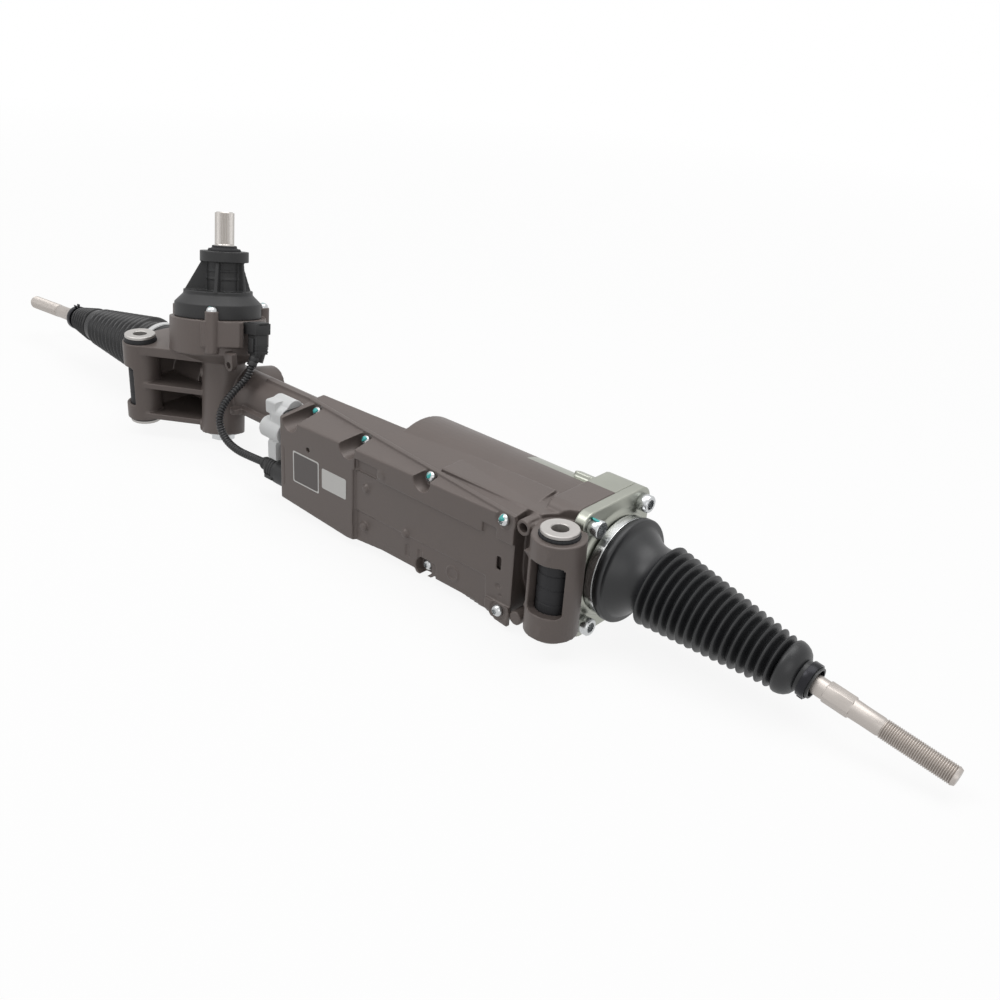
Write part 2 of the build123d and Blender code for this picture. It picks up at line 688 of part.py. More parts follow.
with BuildPart() as end_cover_bolts:
    with BuildSketch(cross(motor_x[1] + cover_t + 0.02)):
        with Locations(*cover_bolts):
            Circle(cover_bolt_head_d / 2)
    extrude(amount=cover_bolt_head_t)
    with BuildSketch(cross(motor_x[1] + cover_t + 0.02)):
        with Locations(*cover_bolts):
            Circle(cover_bolt_d / 2 - 0.05)
    extrude(amount=-(cover_bolt_length + cover_t - 2.0))
    with BuildSketch(cross(motor_x[1] + cover_t + cover_bolt_head_t - 4.0)):
        with Locations(*cover_bolts):
            RegularPolygon(4.2, 6)
    extrude(amount=5.0, mode=Mode.SUBTRACT)
keep(end_cover_bolts, "end_cover_bolts")

# Sensor cover: dome, four gussets, column and collar
column_r = column_d / 2
dome_r = dome_d / 2
shaft_r = shaft_d / 2
shaft_room_d = shaft_d + 8.0
with BuildPart() as sensor_cover:
    with BuildSketch(tower(dome_h[0], dome_shift)):
        Circle(dome_r)
    extrude(amount=13.0)
    with BuildSketch(tower(dome_h[0] + 13.0, dome_shift)):
        Circle(dome_r)
    with BuildSketch(tower(dome_h[1] - 3.5, dome_shift)):
        Circle(dome_r - 8.0)
    loft()
    with BuildSketch(tower(dome_h[1] - 3.5, dome_shift)):
        Circle(dome_r - 8.0)
    extrude(amount=3.5)
    with BuildSketch(tower(dome_h[1] - 4.0)):
        Circle(column_r)
    extrude(amount=collar_h[0] - dome_h[1] + 5.0)
    with BuildSketch(tower(collar_h[0])):
        Circle(collar_d / 2)
    extrude(amount=collar_h[1] - collar_h[0])
    # Gussets from the collar down to the dome's edge
    for turn in (20.0, 95.0, 160.0, 235.0, 305.0):
        reach = dome_r - 8.5 + dome_shift * cos(radians(turn))
        gusset_x = (tower_x * cos(radians(turn)) + mesh_dir * sin(radians(turn))).normalized()
        gusset = Plane(origin=pinion_foot, x_dir=gusset_x, z_dir=gusset_x.cross(lean))
        with BuildSketch(gusset):
            with BuildLine():
                Polyline(
                    (column_r - 3.0, dome_h[1] - 1.0), (reach, dome_h[1] - 1.0),
                    (collar_d / 2 - 2.0, collar_h[0] + 1.0), (column_r - 3.0, collar_h[0] + 1.0),
                    close=True,
                )
            make_face()
        extrude(amount=1.6, both=True)
    # Spigot inside the cup
    with BuildSketch(tower(dome_h[0] - 6.0, dome_shift)):
        Circle(cup_d / 2 - cup_wall - run_fit)
    extrude(amount=6.0)
    # Hollow for the sensor, and the passage of the shaft
    with BuildSketch(tower(dome_h[0] - 7.0, dome_shift)):
        Circle(dome_r - 5.0)
    extrude(amount=20.0, mode=Mode.SUBTRACT)
    with BuildSketch(tower(dome_h[0] - 7.0)):
        Circle(shaft_room_d / 2)
    extrude(amount=collar_h[1] - dome_h[0] + 8.0, mode=Mode.SUBTRACT)
    # Rooms round the bosses of the cup
    for turn in cup_screw_turns:
        with BuildSketch(tower(dome_h[0] - 8.0, dome_shift)):
            with Locations((cup_screw_ring * cos(radians(turn)), cup_screw_ring * sin(radians(turn)))):
                Circle(cup_boss_d / 2 + 0.2)
        extrude(amount=cup_boss_h[1] - dome_h[0] + 8.0, mode=Mode.SUBTRACT)
keep(sensor_cover, "sensor_cover")

cup_screw_points = [
    (cup_screw_ring * cos(radians(turn)), cup_screw_ring * sin(radians(turn)))
    for turn in cup_screw_turns
]
with BuildPart() as sensor_cover_screws:
    with BuildSketch(tower(cup_boss_h[1] + 0.02, dome_shift)):
        with Locations(*cup_screw_points):
            Circle(screw_head_d / 2)
    extrude(amount=screw_head_t)
    with BuildSketch(tower(cup_boss_h[1] + screw_head_t - 2.0, dome_shift)):
        with Locations(*cup_screw_points):
            RegularPolygon(2.5, 6)
    extrude(amount=3.0, mode=Mode.SUBTRACT)
keep(sensor_cover_screws, "sensor_cover_screws")

# Shaft seal in the collar
with BuildPart() as shaft_seal:
    with BuildSketch(tower(collar_h[1] - 6.0)):
        Circle(shaft_room_d / 2 - 0.02)
        Circle(shaft_r + 0.1, mode=Mode.SUBTRACT)
    extrude(amount=7.0)
    with BuildSketch(tower(collar_h[1] + 0.02)):
        Circle(shaft_r + 6.0)
        Circle(shaft_r + 0.1, mode=Mode.SUBTRACT)
    extrude(amount=2.5)
    with BuildSketch(tower(collar_h[1] + 2.5)):
        Circle(shaft_r + 2.2)
        Circle(shaft_r + 0.1, mode=Mode.SUBTRACT)
    extrude(amount=2.5)
keep(shaft_seal, "shaft_seal")

# Pinion: involute teeth with a profile shift, so that few teeth need no undercut
base_r = pitch_r * cos(radians(pressure_angle))
pinion_root_r = pitch_r + gear_module * (profile_shift - 1.25)
inv_pressure = tan(radians(pressure_angle)) - radians(pressure_angle)
tooth_arc = gear_module * (pi / 2 + 2 * profile_shift * tan(radians(pressure_angle))) - mesh_backlash


def flank_point(r, side):
    """Point of the involute at radius r, on one side of a tooth that points along +X."""
    at_r = sqrt(max(r * r - base_r * base_r, 0.0)) / base_r
    inv = at_r - atan2(at_r, 1.0)
    half = tooth_arc / (2 * pitch_r) + inv_pressure - inv
    return (r * cos(half), side * r * sin(half))


flank_steps = [base_r + (pinion_tip_r - base_r) * k / 4 for k in range(5)]
head_h = (33.0, 43.0)
pinion_journal_r = 6.45
pinion_neck_r = 8.0
bar_r = 3.5
with BuildPart() as pinion:
    with BuildSketch(tower(-pinion_face / 2)):
        Circle(pinion_root_r)
        for tooth in range(pinion_teeth):
            with Locations(Rot(0, 0, 90 + 360.0 * tooth / pinion_teeth)):
                with BuildLine(mode=Mode.PRIVATE) as tooth_line:
                    Spline(*[flank_point(r, 1) for r in flank_steps])
                    Line(flank_point(pinion_tip_r, 1), flank_point(pinion_tip_r, -1))
                    Spline(*[flank_point(r, -1) for r in reversed(flank_steps)])
                    Line(flank_point(base_r, -1), (pinion_root_r - 1.0, -1.2))
                    Line((pinion_root_r - 1.0, -1.2), (pinion_root_r - 1.0, 1.2))
                    Line((pinion_root_r - 1.0, 1.2), flank_point(base_r, 1))
                add(make_face(tooth_line.line.edges(), mode=Mode.PRIVATE))
    extrude(amount=pinion_face)
    with BuildSketch(tower(-pinion_face / 2)):
        Circle(pinion_journal_r)
    extrude(amount=-16.0)
    with BuildSketch(tower(pinion_face / 2)):
        Circle(pinion_neck_r)
    extrude(amount=head_h[0] - pinion_face / 2)
    with BuildSketch(tower(head_h[0])):
        Circle(shaft_r + 3.5)
    extrude(amount=head_h[1] - head_h[0])
    with BuildSketch(tower(head_h[0] + 2.0)):
        Circle(shaft_r + run_fit)
    extrude(amount=head_h[1] - head_h[0], mode=Mode.SUBTRACT)
    with BuildSketch(tower(head_h[0] - 14.0)):
        Circle(bar_r + 0.01)
    extrude(amount=20.0, mode=Mode.SUBTRACT)
keep(pinion, "pinion")

# Torsion bar: pressed into the pinion, with its head inside the top of the input shaft
bar_top_h = 150.0
with BuildPart() as torsion_bar:
    with BuildSketch(tower(head_h[0] - 14.0 + 0.02)):
        Circle(bar_r)
    extrude(amount=bar_top_h - head_h[0] + 8.0)
    with BuildSketch(tower(bar_top_h - 12.0)):
        Circle(bar_r + 0.9)
    extrude(amount=12.0)
keep(torsion_bar, "torsion_bar")

with BuildPart() as input_shaft:
    with BuildSketch(tower(head_h[0] + 2.3)):
        Circle(shaft_r)
    extrude(amount=collar_h[1] + 6.0 - head_h[0] - 2.3)
    with BuildSketch(tower(collar_h[1] + 6.0)):
        Circle(spline_d / 2)
    extrude(amount=shaft_top_h - collar_h[1] - 6.0)
    chamfer(input_shaft.edges().filter_by(GeomType.CIRCLE).sort_by(Axis.Z)[-1], length=1.2)
    with BuildSketch(tower(head_h[0] + 2.0)):
        Circle(bar_r + 0.95)
    extrude(amount=bar_top_h - head_h[0] - 1.0, mode=Mode.SUBTRACT)
    # Flat and notch for the steering column's clamp
    with BuildSketch(tower(shaft_top_h - 24.0)):
        with Locations((-shaft_r - 2.0, -6.0)):
            Rectangle(8.0, 6.0)
    extrude(amount=30.0, mode=Mode.SUBTRACT)
keep(input_shaft, "input_shaft")

with BuildPart() as torque_sensor:
    with BuildSketch(tower(cup_h[0] + 6.02, dome_shift)):
        Circle(30.0)
    extrude(amount=15.0)
    with BuildSketch(tower(cup_h[0])):
        Circle(shaft_r + 5.0)
    extrude(amount=25.0, mode=Mode.SUBTRACT)
keep(torque_sensor, "torque_sensor")


ring("sensor_magnet", tower(head_h[1] + 3.0), shaft_r + 4.0, shaft_r + 0.01, 8.0)
upper_bearing = tower(upper_seat_h + 0.02)
ring("pinion_upper_bearing", upper_bearing, bearing_up_d / 2 - 0.01, pinion_neck_r + run_fit, 11.0)
lower_bearing = tower(-pinion_face / 2 - 14.0)
ring("pinion_lower_bearing", lower_bearing, bearing_low_d / 2 - 0.01, pinion_journal_r + run_fit, 11.0)

# Closing plug under the pinion
with BuildPart() as pinion_plug:
    with BuildSketch(tower(pinion_case_foot_h - 0.02)):
        Circle(bearing_low_d / 2 - 1.0)
    extrude(amount=7.0)
    with BuildSketch(tower(pinion_case_foot_h - 0.02)):
        Circle(bearing_low_d / 2 + 1.5)
    extrude(amount=-2.0)
    with BuildSketch(tower(plug_foot_h)):
        RegularPolygon(10.5, 6)
    extrude(amount=6.0)
keep(pinion_plug, "pinion_plug")

# Rack: ball screw thread's land under the nut, and slanted teeth under the pinion
ball_pull = socket_length / 2
rack_x = (ball_far_x + ball_pull, ball_near_x - ball_pull)
mesh_plane = Plane(
    origin=Vector(pinion_x, rack_y, rack_z) - mesh_dir * rack_tooth_depth_side,
    x_dir=tower_x, z_dir=lean,
)
tooth_pitch_x = pi * gear_module / tower_x.X
gap_half = tooth_arc / 2 + mesh_backlash / 2
flare = tan(radians(pressure_angle))
gap_root = gear_module * (1.25 + profile_shift)
gap_mouth = rack_d / 2 - rack_tooth_depth_side + 1.0
gap_count = 2 * ceil((rack_travel + 12.0) / tooth_pitch_x) + 1
stud_d = 16.0
with BuildPart() as rack_bar:
    with BuildSketch(cross(rack_x[0])):
        Circle(rack_d / 2)
    extrude(amount=rack_x[1] - rack_x[0])
    # Flat along the teeth
    tip_depth = gear_module * (1.0 - profile_shift)
    with BuildSketch(mesh_plane):
        with Locations((0, -tip_depth - 10.0)):
            Rectangle((gap_count + 1) * tooth_pitch_x * tower_x.X, 20.0)
    extrude(amount=rack_d, both=True, mode=Mode.SUBTRACT)
    # Gaps between the teeth
    gap_planes = [
        Plane(origin=mesh_plane.origin + Vector(k * tooth_pitch_x, 0, 0), x_dir=tower_x, z_dir=lean)
        for k in range(-(gap_count // 2), gap_count // 2 + 1)
    ]
    with BuildSketch(*gap_planes):
        Polygon(
            (-gap_half - gap_mouth * flare, -gap_mouth), (gap_half + gap_mouth * flare, -gap_mouth),
            (gap_half - gap_root * flare, gap_root), (-gap_half + gap_root * flare, gap_root),
            align=None,
        )
    extrude(amount=rack_d, both=True, mode=Mode.SUBTRACT)
    # Threaded ends for the ball sockets
    for end_plane in (cross(rack_x[0]), cross(rack_x[1])):
        depth = 16.0 if end_plane.origin.X < 0 else -16.0
        with BuildSketch(end_plane):
            Circle(stud_d / 2)
        extrude(amount=depth, mode=Mode.SUBTRACT)
keep(rack_bar, "rack_bar")

# Bush of the rack at the far end
ring("rack_bush", cross(socket_stop_far_x + 2.0), rack_pass_d / 2 - 0.01, rack_d / 2 + run_fit, 14.0)

# Yoke that presses the rack to the pinion, its spring and its adjuster
yoke_h = (5.0, 28.0)
spring_t = 6.0
with BuildPart() as yoke:
    with BuildSketch(yoke_plane.offset(yoke_h[0])):
        Circle(yoke_d / 2)
    extrude(amount=yoke_h[1] - yoke_h[0])
    with BuildSketch(cross(pinion_x - yoke_d)):
        Circle(rack_d / 2 + run_fit)
    extrude(amount=2 * yoke_d, mode=Mode.SUBTRACT)
keep(yoke, "yoke")
ring("yoke_spring", yoke_plane.offset(yoke_h[1] + 0.02), 9.0, 5.5, spring_t)
with BuildPart() as yoke_adjuster:
    with BuildSketch(yoke_plane.offset(yoke_h[1] + spring_t + 0.04)):
        Circle(yoke_d / 2 + run_fit - 0.01)
    extrude(amount=yoke_reach + 8.0 - yoke_h[1] - spring_t)
    with BuildSketch(yoke_plane.offset(yoke_reach + 3.0)):
        RegularPolygon(9.0, 6)
    extrude(amount=8.0, mode=Mode.SUBTRACT)
keep(yoke_adjuster, "yoke_adjuster")

# Motor: stator and windings in the casing, hollow rotor that carries the ball nut
stator_x = (86.0, 162.0)
rotor_x = (motor_room_x - 5.0, 170.0)
rotor_r = 29.5
rotor_tube_r = 18.0
rotor_bore_r = 15.0
nut_x = (rotor_x[1] + 0.02, 221.0)
nut_r = 24.0
nut_bearing_x = 200.0
room_r = motor_room_d / 2
ring("motor_stator", cross(stator_x[0]), room_r - 0.02, rotor_r + 0.6, stator_x[1] - stator_x[0])
with BuildPart() as motor_windings:
    for x, depth in ((stator_x[0] - 0.02, -8.0), (stator_x[1] + 0.02, 8.0)):
        with BuildSketch(cross(x)):
            Circle(room_r - 4.0)
            Circle(rotor_r + 2.0, mode=Mode.SUBTRACT)
        extrude(amount=depth)
keep(motor_windings, "motor_windings")
with BuildPart() as motor_rotor:
    with BuildSketch(cross(rotor_x[0])):
        Circle(rotor_tube_r)
    extrude(amount=rotor_x[1] - rotor_x[0])
    with BuildSketch(cross(stator_x[0] + 2.0)):
        Circle(rotor_r)
    extrude(amount=stator_x[1] - stator_x[0] - 4.0)
    with BuildSketch(cross(rotor_x[0] - 1.0)):
        Circle(rotor_bore_r)
    extrude(amount=rotor_x[1] - rotor_x[0] + 2.0, mode=Mode.SUBTRACT)
keep(motor_rotor, "motor_rotor")
ring("ball_nut", cross(nut_x[0]), nut_r, rack_d / 2 + 0.3, nut_x[1] - nut_x[0])
ring("nut_bearing", cross(nut_bearing_x), room_r - 0.02, nut_r + run_fit, 18.0)
ring("rotor_bearing", cross(rotor_bearing_x + 0.02), rotor_bearing_d / 2 - 0.02, rotor_tube_r + run_fit, 9.0)
ring("rotor_sensor", cross(motor_room_x + 3.02 + 0.02), room_r - 0.02, rotor_tube_r + 2.0, 4.0)

# Ball sockets on the ends of the rack
cavity_r = ball_d / 2 + seat_t
socket_front = 9.0
mouth_half = 57.0
seat_half = 50.0
foot_align = (Align.CENTER, Align.CENTER, Align.MIN)
ends = (("near", ball_near_x, 1, near_droop), ("far", ball_far_x, -1, far_droop))
for end_name, ball_x, side, droop in ends:
    with BuildPart() as ball_socket:
        with BuildSketch(cross(ball_x - side * ball_pull)):
            Circle(socket_d / 2)
        extrude(amount=side * (ball_pull + socket_front))
        with BuildSketch(cross(ball_x - side * (ball_pull - 0.02))):
            Circle(stud_d / 2 - 0.02)
        extrude(amount=-side * 15.0)
        with Locations((ball_x, rack_y, rack_z)):
            Sphere(cavity_r, mode=Mode.SUBTRACT)
        with Locations(Plane(origin=(ball_x, rack_y, rack_z), z_dir=(side, 0, 0))):
            Cone(0, 20.0 * tan(radians(mouth_half)), 20.0, align=foot_align, mode=Mode.SUBTRACT)
    keep(ball_socket, f"{end_name}_ball_socket")

    # Seat of the ball: a shell that is open outward, wide enough for the neck at full lift
    seat_in, seat_out = ball_d / 2 + 0.1, cavity_r - 0.1
    with BuildPart() as ball_seat:
        with BuildSketch(Plane(origin=(ball_x, rack_y, rack_z), x_dir=(side, 0, 0), z_dir=(0, -1, 0))):
            with BuildLine():
                CenterArc((0, 0), seat_out, seat_half, 180 - seat_half)
                CenterArc((0, 0), seat_in, seat_half, 180 - seat_half)
                Line(
                    (seat_in * cos(radians(seat_half)), seat_in * sin(radians(seat_half))),
                    (seat_out * cos(radians(seat_half)), seat_out * sin(radians(seat_half))),
                )
                Line((-seat_in, 0), (-seat_out, 0))
            make_face()
        revolve(axis=Axis((ball_x, rack_y, rack_z), (side, 0, 0)))
    keep(ball_seat, f"{end_name}_ball_seat")

    # Tie rod with its ball, neck, hexagon and threaded end
    rod_dir = Vector(side * cos(radians(droop)), 0, -sin(radians(droop)))
    rod_plane = Plane(origin=(ball_x, rack_y, rack_z), x_dir=(0, 1, 0), z_dir=rod_dir)
    with BuildPart() as tie_rod:
        with Locations(rod_plane):
            Sphere(ball_d / 2)
        with BuildSketch(rod_plane):
            Circle(rod_neck_d / 2)
        extrude(amount=44.0)
        with BuildSketch(rod_plane.offset(38.0)):
            Circle(rod_neck_d / 2)
        with BuildSketch(rod_plane.offset(44.0)):
            Circle(rod_d / 2)
        loft()
        with BuildSketch(rod_plane.offset(44.0)):
            Circle(rod_d / 2)
        extrude(amount=rod_length - rod_thread_length - 44.0)
        with BuildSketch(rod_plane.offset(rod_length - rod_thread_length)):
            Circle(rod_thread_d / 2)
        extrude(amount=rod_thread_length)
        tip = tie_rod.edges().filter_by(GeomType.CIRCLE).sort_by(Axis(rod_plane.origin, rod_dir))[-1]
        chamfer(tip, length=1.0)
        with BuildSketch(rod_plane.offset(rod_length - rod_thread_length - 14.0)):
            RegularPolygon(rod_thread_d / 2 + 1.6, 6)
        extrude(amount=11.0)
    keep(tie_rod, f"{end_name}_tie_rod")

# Bellows: a mouth on the housing, folds on a drooping axis, and a collar on the tie rod
fold_depth = 5.0


def fold_points(first, last, count):
    """Zigzag from one crest to the last: each crest is (along, radius)."""
    points = []
    for k in range(count):
        along = first[0] + (last[0] - first[0]) * k / (count - 1)
        crest = first[1] + (last[1] - first[1]) * k / (count - 1)
        half_pitch = (last[0] - first[0]) / (count - 1) / 2
        points += [(along - half_pitch, crest - fold_depth), (along, crest)]
    return points


far_neck_r = far_neck_d / 2
near_boot_origin = Vector(neck_x + 21.0, rack_y, rack_z)
near_boot_droop = 7.93
far_boot_origin = Vector(far_neck_x - 7.0, rack_y, rack_z)
far_boot_droop = 2.68
near_folds = [(0.0, 26.5)] + fold_points((6.0, 31.8), (119.0, 18.4), 18) + [(122.0, 11.5), (134.0, 11.5)]
near_inside = [(134.0, 7.5), (122.0, 7.5), (119.0, 11.8), (6.0, 24.8), (0.0, 24.8)]
far_folds = (
    [(0.0, 28.6), (8.0, 28.6)] + fold_points((14.0, 31.0), (101.0, 20.5), 11)
    + [(105.5, 16.0), (106.0, 17.2), (114.0, 17.2)] + fold_points((117.5, 18.2), (146.0, 13.2), 6)
    + [(149.0, 11.0), (158.0, 11.0)]
)
far_inside = [
    (158.0, 7.5), (149.0, 7.5), (146.0, 8.2), (114.0, 12.0), (101.0, 13.8), (12.0, 24.2), (0.0, 26.6),
]
near_mouth = [
    (neck_x + x, neck_r + r)
    for x, r in (
        (-14.0, run_fit), (-14.0, 2.0), (-4.5, 2.0), (-4.5, 4.4), (1.0, 4.4), (2.0, 1.0), (5.0, -2.5),
        (5.0, -4.5), (0.3, -1.0), (0.3, run_fit),
    )
]
far_mouth = [
    (far_neck_x + x, far_neck_r + r)
    for x, r in ((12.0, run_fit), (12.0, 1.8), (-7.0, 1.6), (-7.0, -0.4), (-0.3, -0.1), (-0.3, run_fit))
]
bellows = (
    ("near", near_boot_origin, near_boot_droop, 1, near_folds, near_inside, near_mouth),
    ("far", far_boot_origin, far_boot_droop, -1, far_folds, far_inside, far_mouth),
)
for end_name, origin, droop, side, folds, inside, mouth in bellows:
    boot_dir = Vector(side * cos(radians(droop)), 0, -sin(radians(droop)))
    boot_plane = Plane(origin=origin, x_dir=(0, 1, 0), z_dir=boot_dir)
    with BuildPart() as boot:
        with BuildSketch(Plane(origin=(0, rack_y, rack_z), x_dir=(1, 0, 0), z_dir=(0, -1, 0))):
            Polygon(*mouth, align=None)
        revolve(axis=Axis((0, rack_y, rack_z), (1, 0, 0)))
        with BuildSketch(Plane(origin=origin, x_dir=boot_dir, z_dir=(0, -1, 0))):
            Polygon(*folds, *inside, align=None)
        revolve(axis=Axis(origin, boot_dir))
        if side > 0:
            # Cone between the mouth and the folds
            with BuildSketch(cross(mouth[6][0])):
                Circle(mouth[6][1])
            with BuildSketch(boot_plane):
                Circle(folds[0][1])
            loft()
            with BuildSketch(cross(mouth[6][0])):
                Circle(mouth[7][1])
            with BuildSketch(boot_plane):
                Circle(inside[-1][1])
            loft(mode=Mode.SUBTRACT)
    keep(boot, f"{end_name}_boot")

# Clamps of the bellows
clamp_ear_turn = 35.0
with BuildPart() as near_boot_clamp:
    with BuildSketch(cross(neck_x - 13.0)):
        Circle(neck_r + 3.3)
        Circle(neck_r + 2.05, mode=Mode.SUBTRACT)
    extrude(amount=7.0)
    with BuildSketch(cross(neck_x - 12.0)):
        with Locations(Rot(0, 0, clamp_ear_turn)):
            with Locations((neck_r + 5.2, 0)):
                Rectangle(4.2, 8.0)
    extrude(amount=5.0)
keep(near_boot_clamp, "near_boot_clamp")
ring("far_boot_clamp", cross(far_neck_x - 2.0), far_neck_r + 3.2, far_neck_r + 1.85, 7.0)
for end_name, ball_x, side, droop in ends:
    rod_dir = Vector(side * cos(radians(droop)), 0, -sin(radians(droop)))
    rod_plane = Plane(origin=(ball_x, rack_y, rack_z), x_dir=(0, 1, 0), z_dir=rod_dir)
    clamp_s, collar_r = (105.3, 11.5) if side > 0 else (120.5, 11.0)
    ring(f"{end_name}_rod_clamp", rod_plane.offset(clamp_s), collar_r + 1.7, collar_r + 0.3, 6.0)

# Bushes of the lugs: steel sleeve with washers, and rubber between sleeve and lug
for (lug_at, lug_width, lug_top), end_name in zip(lugs, ("far", "near")):
    with BuildPart() as bush_sleeve:
        with BuildSketch(Plane.XY):
            with Locations((lug_at, 0)):
                Circle(sleeve_d / 2)
        extrude(amount=bush_height)
        for z in (0, bush_height - washer_t):
            with BuildSketch(Plane.XY.offset(z)):
                with Locations((lug_at, 0)):
                    Circle(washer_d / 2)
            extrude(amount=washer_t)
        with BuildSketch(Plane.XY.offset(-1.0)):
            with Locations((lug_at, 0)):
                Circle(bolt_hole_d / 2)
        extrude(amount=bush_height + 2.0, mode=Mode.SUBTRACT)
    keep(bush_sleeve, f"{end_name}_bush_sleeve")
    with BuildPart() as bush_rubber:
        with BuildSketch(Plane.XY.offset(washer_t + 0.02)):
            with Locations((lug_at, 0)):
                Circle(bush_rim_d / 2)
        extrude(amount=lug_base_z - washer_t - 0.04)
        with BuildSketch(Plane.XY.offset(washer_t + 0.02)):
            with Locations((lug_at, 0)):
                Circle(bush_rubber_d / 2)
        extrude(amount=bush_height - 2 * washer_t - 0.04)
        with BuildSketch(Plane.XY.offset(lug_top + 0.02)):
            with Locations((lug_at, 0)):
                Circle(bush_rim_d / 2)
        extrude(amount=bush_height - washer_t - lug_top - 0.04)
        with BuildSketch(Plane.XY):
            with Locations((lug_at, 0)):
                Circle(sleeve_d / 2 + 0.02)
        extrude(amount=bush_height, mode=Mode.SUBTRACT)
    keep(bush_rubber, f"{end_name}_bush_rubber")


# Socket of the torque sensor on the cup, its plug, and the lead to the control unit
plug_a, plug_b = 47.5, 2.0
socket_h = (56.0, 66.0)
plug_foot_at = 34.0
with BuildPart() as sensor_socket:
    with BuildSketch(tower(socket_h[0])):
        with Locations(((dome_shift + cup_r + plug_a + 7.5) / 2, plug_b)):
            Rectangle(plug_a + 7.5 - dome_shift - cup_r, 17.0)
    extrude(amount=socket_h[1] - socket_h[0])
    with BuildSketch(tower(socket_h[0] - 1.0, dome_shift)):
        Circle(cup_r + 0.02)
    extrude(amount=socket_h[1] - socket_h[0] + 2.0, mode=Mode.SUBTRACT)
    with BuildSketch(tower(socket_h[0] - 1.0)):
        with Locations((plug_a, plug_b)):
            Rectangle(11.2, 12.2)
    extrude(amount=8.0, mode=Mode.SUBTRACT)
keep(sensor_socket, "sensor_socket")

lead_d = 7.2
lead_start = pinion_foot + tower_x * plug_a + mesh_dir * plug_b + lean * 31.0
lead_exit = Vector(0.02, -0.4, -0.92).normalized()
lead_route = [
    lead_start, lead_start + lead_exit * 8.5, (-142.4, 36.5, 66.7), (-147.3, 24.0, 54.2),
    (-151.6, 14.5, 41.2),
    (-149.4, 9.0, 27.8), (-136.6, 5.8, 17.2), (-118.5, 4.9, 12.9), (-99.6, 5.6, 13.0),
    (unit_left_x - 40.2, gland_y, gland_z),
]
with BuildPart() as sensor_plug:
    with BuildSketch(tower(plug_foot_at + 4.0)):
        with Locations((plug_a, plug_b)):
            RectangleRounded(13.0, 14.0, 2.0)
    extrude(amount=socket_h[0] - plug_foot_at - 4.02)
    with BuildSketch(tower(socket_h[0] - 1.0)):
        with Locations((plug_a, plug_b)):
            Rectangle(11.0, 12.0)
    extrude(amount=7.5)
    with BuildSketch(Plane(origin=lead_start, z_dir=-lead_exit)):
        Circle(lead_d / 2 + 1.2)
    extrude(amount=9.0)
keep(sensor_plug, "sensor_plug")

route = [Vector(*p) if isinstance(p, tuple) else p for p in lead_route]
lead_radii = []
for before, here, after in zip(route, route[1:], route[2:]):
    turn = (here - before).get_angle(after - here)
    shorter = min((here - before).length, (after - here).length)
    lead_radii.append(0.45 * shorter / tan(radians(turn / 2)))
print("lead radii", [round(r, 1) for r in lead_radii])
with BuildPart() as sensor_lead:
    with BuildLine():
        FilletPolyline(*route, radius=lead_radii)
    with BuildSketch(Plane(origin=lead_start, z_dir=lead_exit)):
        Circle(lead_d / 2)
    sweep()
keep(sensor_lead, "sensor_lead")
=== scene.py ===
"""Looks of an electric power steering rack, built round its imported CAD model.

Sizes are in millimetres, in the CAD model's own frame: X runs along the rack, Z along the mounting
bolts, and -Y points to the side of the control unit. Meshes are written in metres.
"""
import logging
import math
from collections.abc import Callable
from dataclasses import dataclass
from enum import Enum

import bmesh
import bpy
from mathutils import Matrix, Vector, noise


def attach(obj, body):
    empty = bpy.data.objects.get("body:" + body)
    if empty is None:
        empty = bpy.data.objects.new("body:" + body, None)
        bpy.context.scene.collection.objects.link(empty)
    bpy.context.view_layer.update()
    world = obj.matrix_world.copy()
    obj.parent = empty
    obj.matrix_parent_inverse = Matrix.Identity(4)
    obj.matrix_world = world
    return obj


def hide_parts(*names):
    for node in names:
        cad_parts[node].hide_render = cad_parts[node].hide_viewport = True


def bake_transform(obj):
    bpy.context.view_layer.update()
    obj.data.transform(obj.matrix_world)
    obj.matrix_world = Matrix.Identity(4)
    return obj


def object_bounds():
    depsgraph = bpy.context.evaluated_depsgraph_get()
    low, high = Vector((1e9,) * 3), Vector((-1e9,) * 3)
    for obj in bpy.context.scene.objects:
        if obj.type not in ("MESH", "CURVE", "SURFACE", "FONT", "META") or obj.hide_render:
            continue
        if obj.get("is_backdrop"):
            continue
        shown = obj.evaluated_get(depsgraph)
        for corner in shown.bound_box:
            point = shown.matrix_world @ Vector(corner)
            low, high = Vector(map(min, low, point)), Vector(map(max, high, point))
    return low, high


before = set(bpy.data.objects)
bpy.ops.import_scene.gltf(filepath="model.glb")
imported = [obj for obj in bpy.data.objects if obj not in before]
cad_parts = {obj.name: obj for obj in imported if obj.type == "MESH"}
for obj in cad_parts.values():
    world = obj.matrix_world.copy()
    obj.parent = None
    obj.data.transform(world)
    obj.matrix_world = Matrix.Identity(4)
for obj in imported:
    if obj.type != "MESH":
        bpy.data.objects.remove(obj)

log = logging.getLogger("steering_rack")

MM = 0.001
NOISE_SEED = 7
RACK_Y = 58.0
RACK_Z = 40.0
RACK_LINE = Vector((0.0, RACK_Y, RACK_Z))
AHEAD = Vector((1.0, 0.0, 0.0))
ACROSS = Vector((0.0, 1.0, 0.0))
UP = Vector((0.0, 0.0, 1.0))
FRONT = Vector((0.0, -1.0, 0.0))
TOWER_FOOT = Vector((-183.8, 40.6674, 43.0562))
TOWER_X = Vector((0.988053, 0.026762, 0.151773))
LEAN = Vector((-0.154115, 0.171574, 0.973042))

Point = tuple[float, float]
Ring = tuple[Vector, Vector, Vector, float]
Socket = bpy.types.NodeSocket


